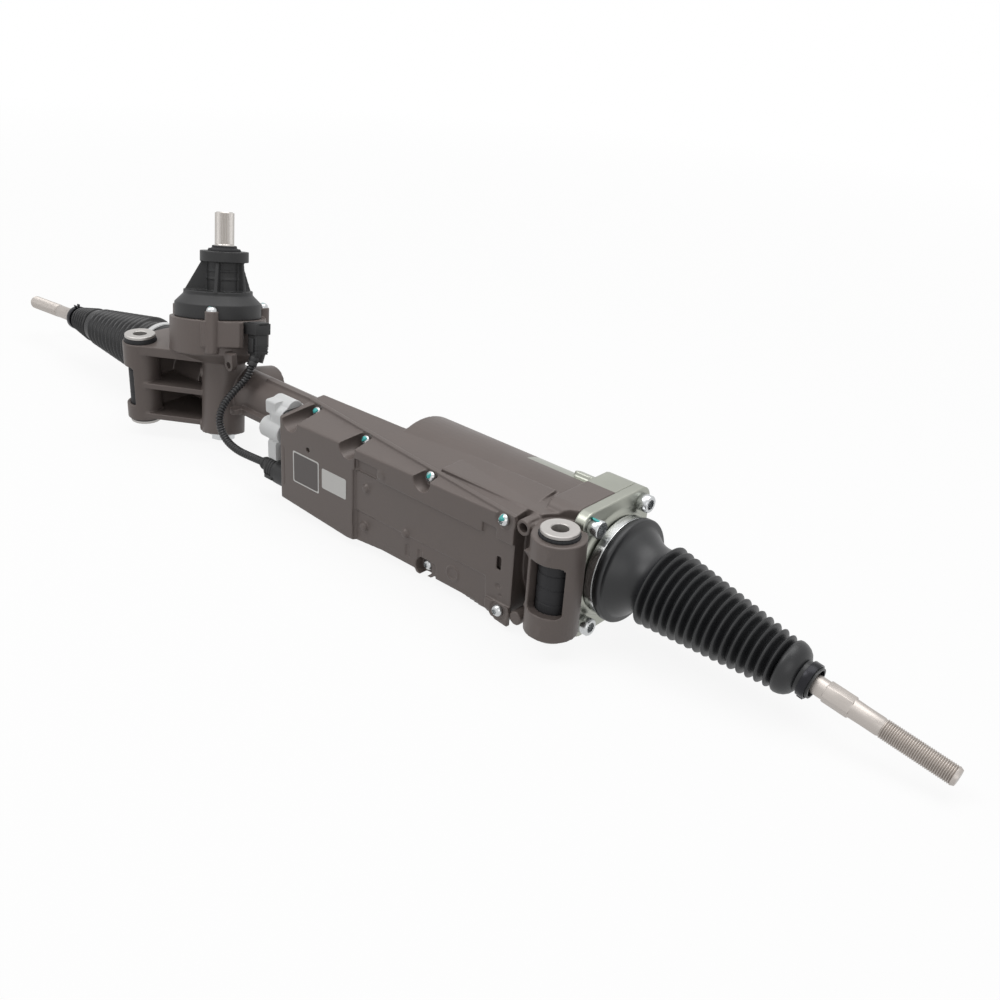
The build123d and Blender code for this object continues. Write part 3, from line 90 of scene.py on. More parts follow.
def linear(colour: str) -> tuple[float, float, float, float]:
    """Turn an sRGB hex colour into linear values.

    Args:
        colour: Six hex digits after a hash sign.

    Returns:
        Red, green, blue and alpha, from 0 to 1.
    """
    parts = [int(colour[i:i + 2], 16) / 255 for i in (1, 3, 5)]
    return tuple(p / 12.92 if p <= 0.04045 else ((p + 0.055) / 1.055) ** 2.4 for p in parts) + (1.0,)


def add_node(tree: bpy.types.NodeTree, kind: str, inputs: dict | None = None, **settings) -> bpy.types.Node:
    """Add a node with its settings and links.

    Args:
        tree: Node tree that gets the node.
        kind: Blender's name of the node type.
        inputs: Value or linked socket of each input, by its name or number.
        settings: Attributes of the node itself.

    Returns:
        The new node.
    """
    node = tree.nodes.new(kind)
    for name, value in settings.items():
        setattr(node, name, value)
    for name, value in (inputs or {}).items():
        if isinstance(value, Socket):
            tree.links.new(value, node.inputs[name])
        else:
            node.inputs[name].default_value = value
    return node


class Surface(Enum):
    """How a surface was made. A cast skin and stacked sheets show a pattern of their own."""

    CAST = "cast"
    MOULDED = "moulded"
    TURNED = "turned"
    PRINTED = "printed"
    LAMINATED = "laminated"


@dataclass(frozen=True)
class Finish:
    """A real material with the marks of its making."""

    name: str
    colour: str
    roughness: float
    surface: Surface = Surface.MOULDED
    metallic: float = 0.0
    ior: float = 1.5
    grain_mm: float = 1.0
    relief_mm: float = 0.02
    tone: float = 0.1
    gloss_change: float = 0.08
    coat: float = 0.0
    clear: float = 0.0
    along: tuple[float, float, float] = (1.0, 1.0, 1.0)

    def material(self) -> bpy.types.Material:
        """Return the Blender material of this finish, made once."""
        known = bpy.data.materials.get(self.name)
        return known if known else self._make()

    def _make(self) -> bpy.types.Material:
        """Build the material's nodes.

        Returns:
            The new material.
        """
        made = bpy.data.materials.new(self.name)
        made.use_nodes = True
        tree = made.node_tree
        tree.nodes.clear()
        place = add_node(tree, "ShaderNodeTexCoord").outputs["Object"]
        grain_scale = 1.0 / (self.grain_mm * MM)
        stretched = add_node(
            tree, "ShaderNodeMapping", {"Vector": place, "Scale": self.along}
        ).outputs["Vector"]
        grain = add_node(
            tree, "ShaderNodeTexNoise",
            {"Vector": stretched, "Scale": grain_scale, "Detail": 3.0, "Roughness": 0.6},
        ).outputs["Fac"]
        # Cloudy change of tone over some 40 mm, as handling and the coating leave it
        cloud = add_node(
            tree, "ShaderNodeTexNoise", {"Vector": place, "Scale": 1.0 / (40.0 * MM), "Detail": 2.0}
        ).outputs["Fac"]
        both = add_node(
            tree, "ShaderNodeMath", {0: grain, 1: 0.45, 2: cloud}, operation="MULTIPLY_ADD"
        ).outputs[0]
        # The mixed noise moves the tone and the gloss alike
        noise_low, noise_high = 0.4, 1.05
        glossiest, dullest = max(self.roughness - self.gloss_change, 0.02), self.roughness + self.gloss_change
        shade, rough = (
            add_node(
                tree, "ShaderNodeMapRange",
                {"Value": both, "From Min": noise_low, "From Max": noise_high, "To Min": low, "To Max": high},
            ).outputs["Result"]
            for low, high in ((1 - self.tone, 1 + self.tone), (glossiest, dullest))
        )
        tint = add_node(
            tree, "ShaderNodeVectorMath",
            {0: linear(self.colour)[:3], "Scale": shade}, operation="SCALE",
        ).outputs["Vector"]
        height = self._relief(tree, place, grain)
        bump = add_node(
            tree, "ShaderNodeBump", {"Height": height, "Strength": 1.0, "Distance": self.relief_mm * MM}
        ).outputs["Normal"]
        shader = add_node(
            tree, "ShaderNodeBsdfPrincipled",
            {
                "Base Color": tint, "Roughness": rough, "Normal": bump, "Metallic": self.metallic,
                "IOR": self.ior, "Coat Weight": self.coat, "Transmission Weight": self.clear,
            },
        )
        add_node(tree, "ShaderNodeOutputMaterial", {"Surface": shader.outputs["BSDF"]})
        return made

    def _relief(self, tree: bpy.types.NodeTree, place: Socket, grain: Socket) -> Socket:
        """Give the height that the bump follows.

        Args:
            tree: Node tree of the material.
            place: Socket with the point's place in metres.
            grain: Socket with the fine noise.

        Returns:
            Socket with the height, from 0 to 1.
        """
        if self.surface is Surface.LAMINATED:
            # Sheets of 0.5 mm, drawn 2 mm thick, since finer ones can't be seen
            drawn_mm = 2.0
            waves = 1.0 / (drawn_mm * MM) / 20.0 * 2 * math.pi
            return add_node(
                tree, "ShaderNodeTexWave", {"Vector": place, "Scale": waves, "Distortion": 0.0},
                bands_direction="X",
            ).outputs["Fac"]
        if self.surface is Surface.CAST:
            # Shallow pits of the casting skin, a few millimetres apart
            pit_mm = 2.6 * self.grain_mm
            pits = add_node(
                tree, "ShaderNodeTexVoronoi", {"Vector": place, "Scale": 1.0 / (pit_mm * MM)},
                feature="SMOOTH_F1",
            ).outputs["Distance"]
            return add_node(
                tree, "ShaderNodeMath", {0: grain, 1: 0.7, 2: pits}, operation="MULTIPLY_ADD"
            ).outputs[0]
        return grain


# Die-cast aluminium under a thin brown-grey coating: a dull sheen and a fine sandy skin
COATED_CASTING = Finish(
    "coated_die_cast_aluminium", "#685f5b", 0.46, Surface.CAST, metallic=0.15, grain_mm=1.1,
    relief_mm=0.05, tone=0.08,
)
# Bare die-cast aluminium: bright and satin, with the cloudy skin of the mould
BARE_CASTING = Finish(
    "bare_die_cast_aluminium", "#a2a49b", 0.36, Surface.CAST, metallic=1.0, grain_mm=1.0,
    relief_mm=0.03, tone=0.08,
)
# Turned steel, oiled and not plated: fine rings across the shaft's axis
TURNED_STEEL = Finish(
    "turned_steel", "#bdb9b5", 0.30, Surface.TURNED, metallic=1.0, grain_mm=1.2, relief_mm=0.006, tone=0.04,
    along=(1.0, 0.12, 0.12),
)
# Raw forged steel of the tie rods, rolled and oiled: warm grey and satin
RAW_STEEL = Finish(
    "forged_steel", "#b3ada8", 0.42, Surface.TURNED, metallic=1.0, grain_mm=1.5, relief_mm=0.012, tone=0.06,
    along=(0.25, 1.0, 1.0),
)
# Blackened spring steel of the rods' clamps: dark, with a little oil on it
BLACK_SPRING = Finish("blackened_spring_steel", "#26262a", 0.34, metallic=0.7, grain_mm=1.0, relief_mm=0.01)
# Zinc-plated and passivated steel: pale, slightly blue, softly bright
ZINC_PLATE = Finish(
    "blue_passivated_zinc", "#c3c5c6", 0.28, Surface.MOULDED, metallic=1.0, grain_mm=0.9, relief_mm=0.012,
)
# Machined and cleaned steel of the bushes' washers: an even, satin grey
SATIN_STEEL = Finish(
    "machined_steel", "#b9b6b3", 0.52, Surface.TURNED, metallic=0.85, grain_mm=0.9, relief_mm=0.008,
    tone=0.05,
)
# Stainless band of the clamps: bright, with rolling lines round the ring
ROLLED_BAND = Finish(
    "rolled_stainless_steel", "#cfd0d0", 0.22, Surface.TURNED, metallic=1.0, grain_mm=1.4, relief_mm=0.006,
    along=(1.0, 0.2, 0.2),
)
# Soft chloroprene rubber of the bellows: deep black, half matt, with the bloom of moulded rubber
BELLOWS_RUBBER = Finish(
    "chloroprene_rubber", "#1b1c1e", 0.42, grain_mm=0.8, relief_mm=0.015, tone=0.18, ior=1.52
)
# Thermoplastic elastomer of the longer bellows: the same black, but glossier on its edges
BELLOWS_ELASTOMER = Finish(
    "polyester_elastomer", "#18181a", 0.27, grain_mm=0.8, relief_mm=0.01, tone=0.15, ior=1.52
)
# Natural rubber of the mounting bushes: black and fully matt
BUSH_RUBBER = Finish("natural_rubber", "#17171a", 0.7, grain_mm=0.9, relief_mm=0.03, tone=0.2, ior=1.52)
# Glass-filled nylon: dark, matt, with the fine spark-eroded texture of its mould
NYLON = Finish("glass_filled_nylon", "#1e1e1f", 0.55, grain_mm=0.9, relief_mm=0.03, tone=0.12, ior=1.53)
# Corrugated polyamide conduit: smoother and glossier than the plugs
CONDUIT = Finish("polyamide_conduit", "#19191b", 0.38, grain_mm=1.0, relief_mm=0.008, tone=0.12, ior=1.53)
# Low-density polyethylene of the dust cap: milky, waxy, lets some light in
POLYETHYLENE = Finish(
    "milky_polyethylene", "#e9eaea", 0.4, grain_mm=1.4, relief_mm=0.02, tone=0.04, ior=1.51, clear=0.12,
)
# Glass-epoxy board under green lacquer
BOARD = Finish("lacquered_glass_epoxy", "#1f4a2c", 0.35, Surface.PRINTED, grain_mm=1.5, tone=0.15, coat=0.4)
# Enamelled copper wire: warm, glossy, bundled
COPPER = Finish(
    "enamelled_copper", "#a8592c", 0.32, Surface.TURNED, metallic=1.0, grain_mm=1.6, relief_mm=0.2
)
# Stacked electrical steel: dull grey edges of thin sheets
LAMINATION = Finish(
    "electrical_steel_stack", "#6d7074", 0.45, Surface.LAMINATED, metallic=1.0, relief_mm=0.05
)
# Plastic-bonded ferrite: charcoal grey and dull
FERRITE = Finish("bonded_ferrite", "#34343a", 0.6, grain_mm=1.0, tone=0.1)
# Bronze-backed sliding liner: ochre and greasy
LINER = Finish("bronze_liner", "#8d6f3e", 0.4, Surface.TURNED, metallic=1.0, grain_mm=1.2)
# Acetal seat of the ball joints: white and slick
ACETAL = Finish("acetal", "#d9d7cf", 0.35, grain_mm=1.5, tone=0.03)
# Ground bearing steel: the brightest metal inside
BEARING_STEEL = Finish(
    "ground_bearing_steel", "#cbcbcc", 0.18, Surface.TURNED, metallic=1.0, grain_mm=1.2, relief_mm=0.004,
    along=(1.0, 0.15, 0.15),
)
# Dab of turquoise torque-seal lacquer on the screws
LACQUER = Finish("torque_seal_lacquer", "#45b8b4", 0.35, grain_mm=0.7, relief_mm=0.05, tone=0.2)
# Matt film of the bare rating plate, dark, with its pale frame
DARK_FILM = Finish("dark_polyester_film", "#57514f", 0.45, Surface.PRINTED, grain_mm=1.5, tone=0.05)
PALE_FILM = Finish("pale_polyester_film", "#dcdbd8", 0.5, Surface.PRINTED, grain_mm=1.5, tone=0.03)


@dataclass(frozen=True)
class Place:
    """A local frame in millimetres, with its z along a piece's own axis."""

    origin: Vector
    x_dir: Vector
    z_dir: Vector

    def matrix(self) -> Matrix:
        """Place this frame in the scene.

        Returns:
            Matrix from this frame in millimetres to the scene in metres.
        """
        z = self.z_dir.normalized()
        x = (self.x_dir - z * self.x_dir.dot(z)).normalized()
        y = z.cross(x)
        turn = Matrix((x, y, z)).transposed().to_4x4()
        return Matrix.Translation(self.origin * MM) @ turn @ Matrix.Diagonal((MM, MM, MM, 1.0))

    def moved(self, along: float, x: float = 0.0, y: float = 0.0) -> "Place":
        """Move this frame.

        Args:
            along: Distance along its z.
            x: Distance along its x.
            y: Distance along its y.

        Returns:
            The moved frame.
        """
        z = self.z_dir.normalized()
        x_dir = (self.x_dir - z * self.x_dir.dot(z)).normalized()
        return Place(self.origin + z * along + x_dir * x + z.cross(x_dir) * y, x_dir, z)


def polar(radius: float, turn: float) -> Point:
    """Return the point at a radius and an angle in radians."""
    return radius * math.cos(turn), radius * math.sin(turn)


def drooping(side: int, degrees: float) -> Vector:
    """Return the direction of a rod that points to a side of the rack and droops."""
    turn = math.radians(degrees)
    return Vector((side * math.cos(turn), 0.0, -math.sin(turn)))


def circle(radius: float, steps: int, centre: Point = (0.0, 0.0)) -> list[Point]:
    """Return the points of a circle."""
    turns = [2 * math.pi * k / steps for k in range(steps)]
    return [(centre[0] + radius * math.cos(t), centre[1] + radius * math.sin(t)) for t in turns]


def rounded_box(width: float, height: float, radius: float, centre: Point = (0.0, 0.0)) -> list[Point]:
    """Return the outline of a rectangle with rounded corners.

    Args:
        width: Size along x.
        height: Size along y.
        radius: Radius of the corners.
        centre: Middle of the rectangle.

    Returns:
        Points in order round the outline.
    """
    points = []
    for corner, (sx, sy) in enumerate(((1, 1), (-1, 1), (-1, -1), (1, -1))):
        for degrees in range(0, 91, 15):
            t = math.radians(90 * corner + degrees)
            points.append((
                centre[0] + sx * (width / 2 - radius) + radius * math.cos(t),
                centre[1] + sy * (height / 2 - radius) + radius * math.sin(t),
            ))
    return points


def star(outer: float, inner: float, lobes: int) -> list[Point]:
    """Return the outline of a drive with round lobes.

    Args:
        outer: Radius at the lobes' tips.
        inner: Radius between them.
        lobes: Number of lobes.

    Returns:
        Points in order round the outline.
    """
    middle, swing, steps = (outer + inner) / 2, (outer - inner) / 2, lobes * 8
    turns = [2 * math.pi * k / steps for k in range(steps)]
    return [polar(middle + swing * math.cos(lobes * t), t) for t in turns]


class Workpiece:
    """A mesh on the bench: it is shaped, dressed and then put on its body."""

    def __init__(self, name: str, vertices: list, faces: list) -> None:
        """Make the object.

        Args:
            name: Name of the piece.
            vertices: Its points, in metres.
            faces: Numbers of the points round each face.
        """
        self.solver = "EXACT"
        mesh = bpy.data.meshes.new(name)
        mesh.from_pydata(vertices, [], faces)
        self.item = bpy.data.objects.new(name, mesh)
        bpy.context.scene.collection.objects.link(self.item)
        self._clean()

    def _clean(self) -> None:
        """Weld points that coincide, and turn all faces outward."""
        shape = bmesh.new()
        shape.from_mesh(self.item.data)
        bmesh.ops.remove_doubles(shape, verts=shape.verts, dist=1e-7)
        bmesh.ops.recalc_face_normals(shape, faces=shape.faces)
        shape.to_mesh(self.item.data)
        shape.free()

    @classmethod
    def copy_of(cls, name: str, node: str) -> "Workpiece":
        """Return a new piece with the shape of a CAD node."""
        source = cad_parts[node].data
        return cls(name, [tuple(v.co) for v in source.vertices], [tuple(p.vertices) for p in source.polygons])

    @classmethod
    def lathe(cls, name: str, place: Place, profile: list[Point], steps: int = 72) -> "Workpiece":
        """Turn a closed profile round the place's z.

        Args:
            name: Name of the piece.
            place: Frame whose z is the axis.
            profile: Radius and height of each corner, in order round the section.
            steps: Number of steps in one turn.

        Returns:
            The solid of revolution.
        """
        to_scene = place.matrix()
        vertices, faces = [], []
        for k in range(steps):
            t = 2 * math.pi * k / steps
            vertices += [to_scene @ Vector((*polar(r, t), h)) for r, h in profile]
        n = len(profile)
        for k in range(steps):
            a, b = k * n, (k + 1) % steps * n
            faces += [(a + i, b + i, b + (i + 1) % n, a + (i + 1) % n) for i in range(n)]
        return cls(name, vertices, faces)

    @classmethod
    def prism(cls, name: str, place: Place, outline: list[Point], depth: float) -> "Workpiece":
        """Raise an outline along the place's z.

        Args:
            name: Name of the piece.
            place: Frame of the outline.
            outline: Its points, counter-clockwise seen along z.
            depth: Height of the prism.

        Returns:
            The prism.
        """
        to_scene = place.matrix()
        n = len(outline)
        vertices = [to_scene @ Vector((x, y, h)) for h in (0.0, depth) for x, y in outline]
        faces = [(i, (i + 1) % n, n + (i + 1) % n, n + i) for i in range(n)]
        faces += [tuple(range(n)), tuple(range(2 * n - 1, n - 1, -1))]
        return cls(name, vertices, faces)

    @classmethod
    def skin(cls, name: str, rings: list[Ring], steps: int) -> "Workpiece":
        """Join rings into a closed tube wall.

        Args:
            name: Name of the piece.
            rings: Centre, two directions across, and radius of each ring. They go out on the
                outside and come back on the inside, and the last joins the first.
            steps: Number of points on each ring.

        Returns:
            The tube.
        """
        vertices, faces = [], []
        for centre, u, v, radius in rings:
            for k in range(steps):
                t = 2 * math.pi * k / steps
                vertices.append((centre + (u * math.cos(t) + v * math.sin(t)) * radius) * MM)
        for i in range(len(rings)):
            a, b = i * steps, (i + 1) % len(rings) * steps
            faces += [(a + k, a + (k + 1) % steps, b + (k + 1) % steps, b + k) for k in range(steps)]
        return cls(name, vertices, faces)

    def _settle(self) -> None:
        """Apply all modifiers to the mesh."""
        graph = bpy.context.evaluated_depsgraph_get()
        made = bpy.data.meshes.new_from_object(self.item.evaluated_get(graph))
        old = self.item.data
        self.item.modifiers.clear()
        self.item.data = made
        bpy.data.meshes.remove(old)

    def change(self, kind: str, **settings) -> "Workpiece":
        """Apply one modifier.

        Args:
            kind: Blender's name of the modifier.
            settings: Its settings.

        Returns:
            This piece.
        """
        modifier = self.item.modifiers.new(kind.lower(), kind)
        for name, value in settings.items():
            setattr(modifier, name, value)
        self._settle()
        return self

    def bevel(self, width: float, segments: int = 2, angle: float = 35.0) -> "Workpiece":
        """Round the sharp edges.

        Args:
            width: Width of the rounding.
            segments: Number of faces across it.
            angle: Angle in degrees from which an edge is rounded.

        Returns:
            This piece.
        """
        return self.change(
            "BEVEL", width=width * MM, segments=segments, limit_method="ANGLE",
            angle_limit=math.radians(angle), harden_normals=False, use_clamp_overlap=True,
        )

    def cut(self, *tools: "Workpiece") -> "Workpiece":
        """Take the tools' volume away from this piece.

        Args:
            tools: Pieces to cut with, which leave the bench.

        Returns:
            This piece.
        """
        for tool in tools:
            self.change("BOOLEAN", operation="DIFFERENCE", object=tool.item, solver=self.solver)
            tool.discard()
        return self

    def paint(self, finish: Finish, chosen: Callable[[Vector], bool]) -> "Workpiece":
        """Give the faces whose middle is chosen another finish.

        Args:
            finish: Finish of the chosen faces.
            chosen: Test of a face's middle, in millimetres.

        Returns:
            This piece.
        """
        mesh = self.item.data
        mesh.materials.append(finish.material())
        for face in mesh.polygons:
            if chosen(face.center / MM):
                face.material_index = 1
        return self

    def smear(self, amount: float, size: float) -> "Workpiece":
        """Move the points at random, as a brushed-on drop dries.

        Args:
            amount: How far the points move.
            size: Size of the dents.

        Returns:
            This piece.
        """
        for point in self.item.data.vertices:
            point.co += noise.noise_vector(point.co / (size * MM)) * amount * MM
        return self

    def fuse(self, *others: "Workpiece") -> "Workpiece":
        """Join other pieces into this one's mesh, without welding.

        Args:
            others: The pieces, which leave the bench.

        Returns:
            This piece.
        """
        shape = bmesh.new()
        for piece in (self, *others):
            shape.from_mesh(piece.item.data)
        shape.to_mesh(self.item.data)
        shape.free()
        for piece in others:
            piece.discard()
        return self

    def recast(self, grid: float, rounds: int) -> "Workpiece":
        """Make one skin of all that is joined, with the soft edges of a casting.

        Args:
            grid: Size of the new faces.
            rounds: How often the skin is smoothed.

        Returns:
            This piece.
        """
        self.change("REMESH", mode="VOXEL", voxel_size=grid * MM, adaptivity=0.0)
        self.solver = "MANIFOLD"
        return self.change("SMOOTH", factor=0.5, iterations=rounds) if rounds else self

    def discard(self) -> None:
        """Remove this piece from the bench."""
        mesh = self.item.data
        bpy.data.objects.remove(self.item)
        bpy.data.meshes.remove(mesh)

    def dress(self, finish: Finish, crease: float = 35.0) -> "Workpiece":
        """Give the piece its finish.

        Args:
            finish: The finish.
            crease: Angle in degrees from which an edge stays sharp.

        Returns:
            This piece.
        """
        mesh = self.item.data
        mesh.materials.clear()
        mesh.materials.append(finish.material())
        mesh.polygons.foreach_set("use_smooth", [True] * len(mesh.polygons))
        mesh.set_sharp_from_angle(angle=math.radians(crease))
        return self

    def mount(self, body: str, slot: str, *nodes: str) -> "Workpiece":
        """Put the piece on its body.

        Args:
            body: Name of the CAD body.
            slot: Material slot of the record; not used.
            nodes: CAD nodes that the piece stands for.

        Returns:
            This piece.
        """
        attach(self.item, body)
        return self._enter(nodes)

    def stretch(self, slot: str, bodies: tuple[str, str], start: Vector, end: Vector,
                *nodes: str) -> "Workpiece":
        """Bake the piece's place into its mesh; it is put on no body and does not bend.

        Args:
            slot: Material slot of the record; not used.
            bodies: The body that holds its start, and the one that holds its end; not used.
            start: Where the bend begins, in millimetres; not used.
            end: Where it ends; not used.
            nodes: CAD nodes that the piece stands for.

        Returns:
            This piece.
        """
        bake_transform(self.item)
        return self._enter(nodes)

    def _enter(self, nodes: tuple[str, ...]) -> "Workpiece":
        """Note what the piece is in the record.

        Args:
            nodes: CAD nodes that the piece stands for.

        Returns:
            This piece.
        """
        if nodes:
            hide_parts(*nodes)
        log.info("%s: %d faces", self.item.name, len(self.item.data.polygons))
        return self


def dress_node(node: str, finish: Finish) -> None:
    """Give a CAD node that keeps its shape its finish.

    Args:
        node: Name of the node.
        finish: The finish.
    """
    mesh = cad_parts[node].data
    mesh.materials.clear()
    mesh.materials.append(finish.material())
    log.info("%s: CAD node in %s", node, finish.name)


WHITE = linear("#ffffff")


@dataclass
class Studio:
    """Camera in millimetres and degrees, floor and soft lamps in metres and watts."""

    eye: Vector = Vector((673.6, -569.1, 463.6))
    azimuth: float = 39.84
    elevation: float = 26.95
    roll: float = 4.13
    lens_share: float = 1.163
    film: float = 36.0
    floor_size: float = 60.0
    fade: tuple[float, float] = (0.8, 2.2)
    floor_tone: float = 0.55
    world_level: float = 0.22
    lights: tuple[tuple[str, tuple[float, float, float], float, float], ...] = (
        ("key", (-0.9, -1.3, 2.4), 1.6, 24.0),
        ("top", (0.2, 0.5, 2.4), 2.2, 29.0),
        ("fill", (2.0, -1.4, 0.9), 1.6, 6.0),
    )

    def camera(self) -> None:
        """Make the camera at the photograph's viewing angle."""
        a, e, r = (math.radians(x) for x in (self.azimuth, self.elevation, self.roll))
        ahead = Vector((-math.sin(a) * math.cos(e), math.cos(a) * math.cos(e), -math.sin(e)))
        right = Vector((math.cos(a), math.sin(a), 0.0))
        above = right.cross(ahead)
        side = right * math.cos(r) + above * math.sin(r)
        top = above * math.cos(r) - right * math.sin(r)
        data = bpy.data.cameras.new("camera")
        data.sensor_width = self.film
        data.lens = self.film * self.lens_share
        data.clip_start, data.clip_end = 0.01, 120.0
        item = bpy.data.objects.new("camera", data)
        bpy.context.scene.collection.objects.link(item)
        turn = Matrix((side, top, -ahead)).transposed().to_4x4()
        item.matrix_world = Matrix.Translation(self.eye * MM) @ turn
        bpy.context.scene.camera = item

    def _white(self, tree: bpy.types.NodeTree) -> Socket:
        """Find the rays that see the backdrop, also in gloss and through glass.

        Args:
            tree: Node tree of the floor or the world.

        Returns:
            Socket that is 1 for those rays and 0 for the others.
        """
        path = add_node(tree, "ShaderNodeLightPath").outputs
        seen = path["Is Camera Ray"]
        for kind in ("Is Glossy Ray", "Is Transmission Ray"):
            seen = add_node(tree, "ShaderNodeMath", {0: seen, 1: path[kind]}, operation="MAXIMUM").outputs[0]
        return seen

    def floor(self, level: float) -> None:
        """Lay a plain pale floor.

        Args:
            level: Height of the floor in metres.
        """
        half = self.floor_size / 2
        near, far = self.fade
        corners = [(sx * half, sy * half, level) for sx, sy in ((-1, -1), (1, -1), (1, 1), (-1, 1))]
        mesh = bpy.data.meshes.new("floor")
        mesh.from_pydata(corners, [], [(0, 1, 2, 3)])
        item = bpy.data.objects.new("floor", mesh)
        bpy.context.scene.collection.objects.link(item)
        made = bpy.data.materials.new("matt_white_paint")
        made.use_nodes = True
        tree = made.node_tree
        tree.nodes.clear()
        seen = self._white(tree)
        paint = add_node(
            tree, "ShaderNodeMapRange", {"Value": seen, "To Min": self.floor_tone, "To Max": 1.0}
        ).outputs["Result"]
        matt = add_node(tree, "ShaderNodeBsdfDiffuse", {"Color": paint})
        glow = add_node(tree, "ShaderNodeEmission", {"Color": WHITE, "Strength": 1.0})
        place = add_node(tree, "ShaderNodeTexCoord").outputs["Object"]
        distance = add_node(tree, "ShaderNodeVectorMath", {0: place}, operation="LENGTH").outputs["Value"]
        fade = add_node(
            tree, "ShaderNodeMapRange",
            {"Value": distance, "From Min": near, "From Max": far, "To Min": 0.9, "To Max": 1.0},
        ).outputs["Result"]
        share = add_node(tree, "ShaderNodeMath", {0: seen, 1: fade}, operation="MULTIPLY").outputs[0]
        mixed = add_node(
            tree, "ShaderNodeMixShader", {0: share, 1: matt.outputs[0], 2: glow.outputs[0]}
        )
        add_node(tree, "ShaderNodeOutputMaterial", {"Surface": mixed.outputs[0]})
        mesh.materials.append(made)
        item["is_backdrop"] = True

    def lamps(self) -> None:
        """Hang the soft lamps, and set the pale surroundings."""
        for name, where, size, watts in self.lights:
            data = bpy.data.lights.new(name, "AREA")
            data.shape, data.size, data.energy = "DISK", size, watts
            item = bpy.data.objects.new(name, data)
            bpy.context.scene.collection.objects.link(item)
            item.location = where
            item.rotation_mode = "QUATERNION"
            item.rotation_quaternion = (-Vector(where)).to_track_quat("-Z", "Y")
        world = bpy.data.worlds.new("studio")
        world.use_nodes = True
        tree = world.node_tree
        tree.nodes.clear()
        level = add_node(
            tree, "ShaderNodeMapRange",
            {"Value": self._white(tree), "To Min": self.world_level, "To Max": 1.0},
        ).outputs["Result"]
        sky = add_node(tree, "ShaderNodeBackground", {"Color": WHITE, "Strength": level})
        add_node(tree, "ShaderNodeOutputWorld", {"Surface": sky.outputs[0]})
        bpy.context.scene.world = world
        bpy.context.scene.view_settings.view_transform = "Standard"


@dataclass
class SensorLead:
    """Corrugated conduit from the torque sensor's plug to the control unit."""

    diameter: float = 7.2
    pitch: float = 2.8
    groove: float = 0.95
    wall: float = 1.3
    route: tuple[tuple[float, float, float], ...] = (
        (-141.8, 43.6, 81.5), (-141.6, 40.3, 73.7), (-142.4, 36.5, 66.7), (-147.3, 24.0, 54.2),
        (-151.6, 14.5, 41.2), (-149.4, 9.0, 27.8), (-136.6, 5.8, 17.2), (-118.5, 4.9, 12.9),
        (-99.6, 5.6, 13.0), (-80.2, 6.0, 14.0),
    )

    def _line(self) -> list[Vector]:
        """Draw the smooth curve along the route.

        Returns:
            Its points, in millimetres.
        """
        curve = bpy.data.curves.new("lead_line", "CURVE")
        curve.dimensions = "3D"
        curve.resolution_u = 24
        spline = curve.splines.new("NURBS")
        spline.points.add(len(self.route) - 1)
        for point, place in zip(spline.points, self.route):
            point.co = (*(x * MM for x in place), 1.0)
        spline.order_u = 3
        spline.use_endpoint_u = True
        item = bpy.data.objects.new("lead_line", curve)
        mesh = bpy.data.meshes.new_from_object(item)
        points = [v.co / MM for v in mesh.vertices]
        bpy.data.objects.remove(item)
        bpy.data.meshes.remove(mesh)
        bpy.data.curves.remove(curve)
        return points

    def _samples(self, line: list[Vector]) -> tuple[list[tuple[Vector, float]], float]:
        """Walk the line in steps of an eighth of the rings' pitch.

        Args:
            line: Points of the line.

        Returns:
            Each sample with its distance from the start, and the line's length.
        """
        samples, reach = [(line[0], 0.0)], 0.0
        for before, after in zip(line, line[1:]):
            run = (after - before).length
            parts = max(1, round(run / (self.pitch / 8)))
            samples += [
                (before.lerp(after, (k + 1) / parts), reach + run * (k + 1) / parts) for k in range(parts)
            ]
            reach += run
        return samples, reach

    def build(self, plug: bpy.types.Object) -> None:
        """Args:
            plug: The piece on the lead's upper end; not used.
        """
        line = self._line()
        samples, reach = self._samples(line)
        u = ACROSS.cross(line[1] - line[0]).normalized()
        outer, inner = [], []
        for k, (point, at) in enumerate(samples):
            ahead = samples[min(k + 1, len(samples) - 1)][0] - samples[max(k - 1, 0)][0]
            w = ahead.normalized()
            u = (u - w * u.dot(w)).normalized()
            wave = 0.5 + 0.5 * math.cos(2 * math.pi * at / self.pitch)
            crest = self.diameter / 2 - self.groove * (1 - min(1.0, 1.5 * wave))
            outer.append((point, u, w.cross(u), crest))
            inner.append((point, u, w.cross(u), self.diameter / 2 - self.wall))
        tube = Workpiece.skin("sensor_lead_conduit", outer + inner[::-1], steps=28)
        tube.dress(CONDUIT, 60.0).mount("housing", "plastic", "sensor_lead")


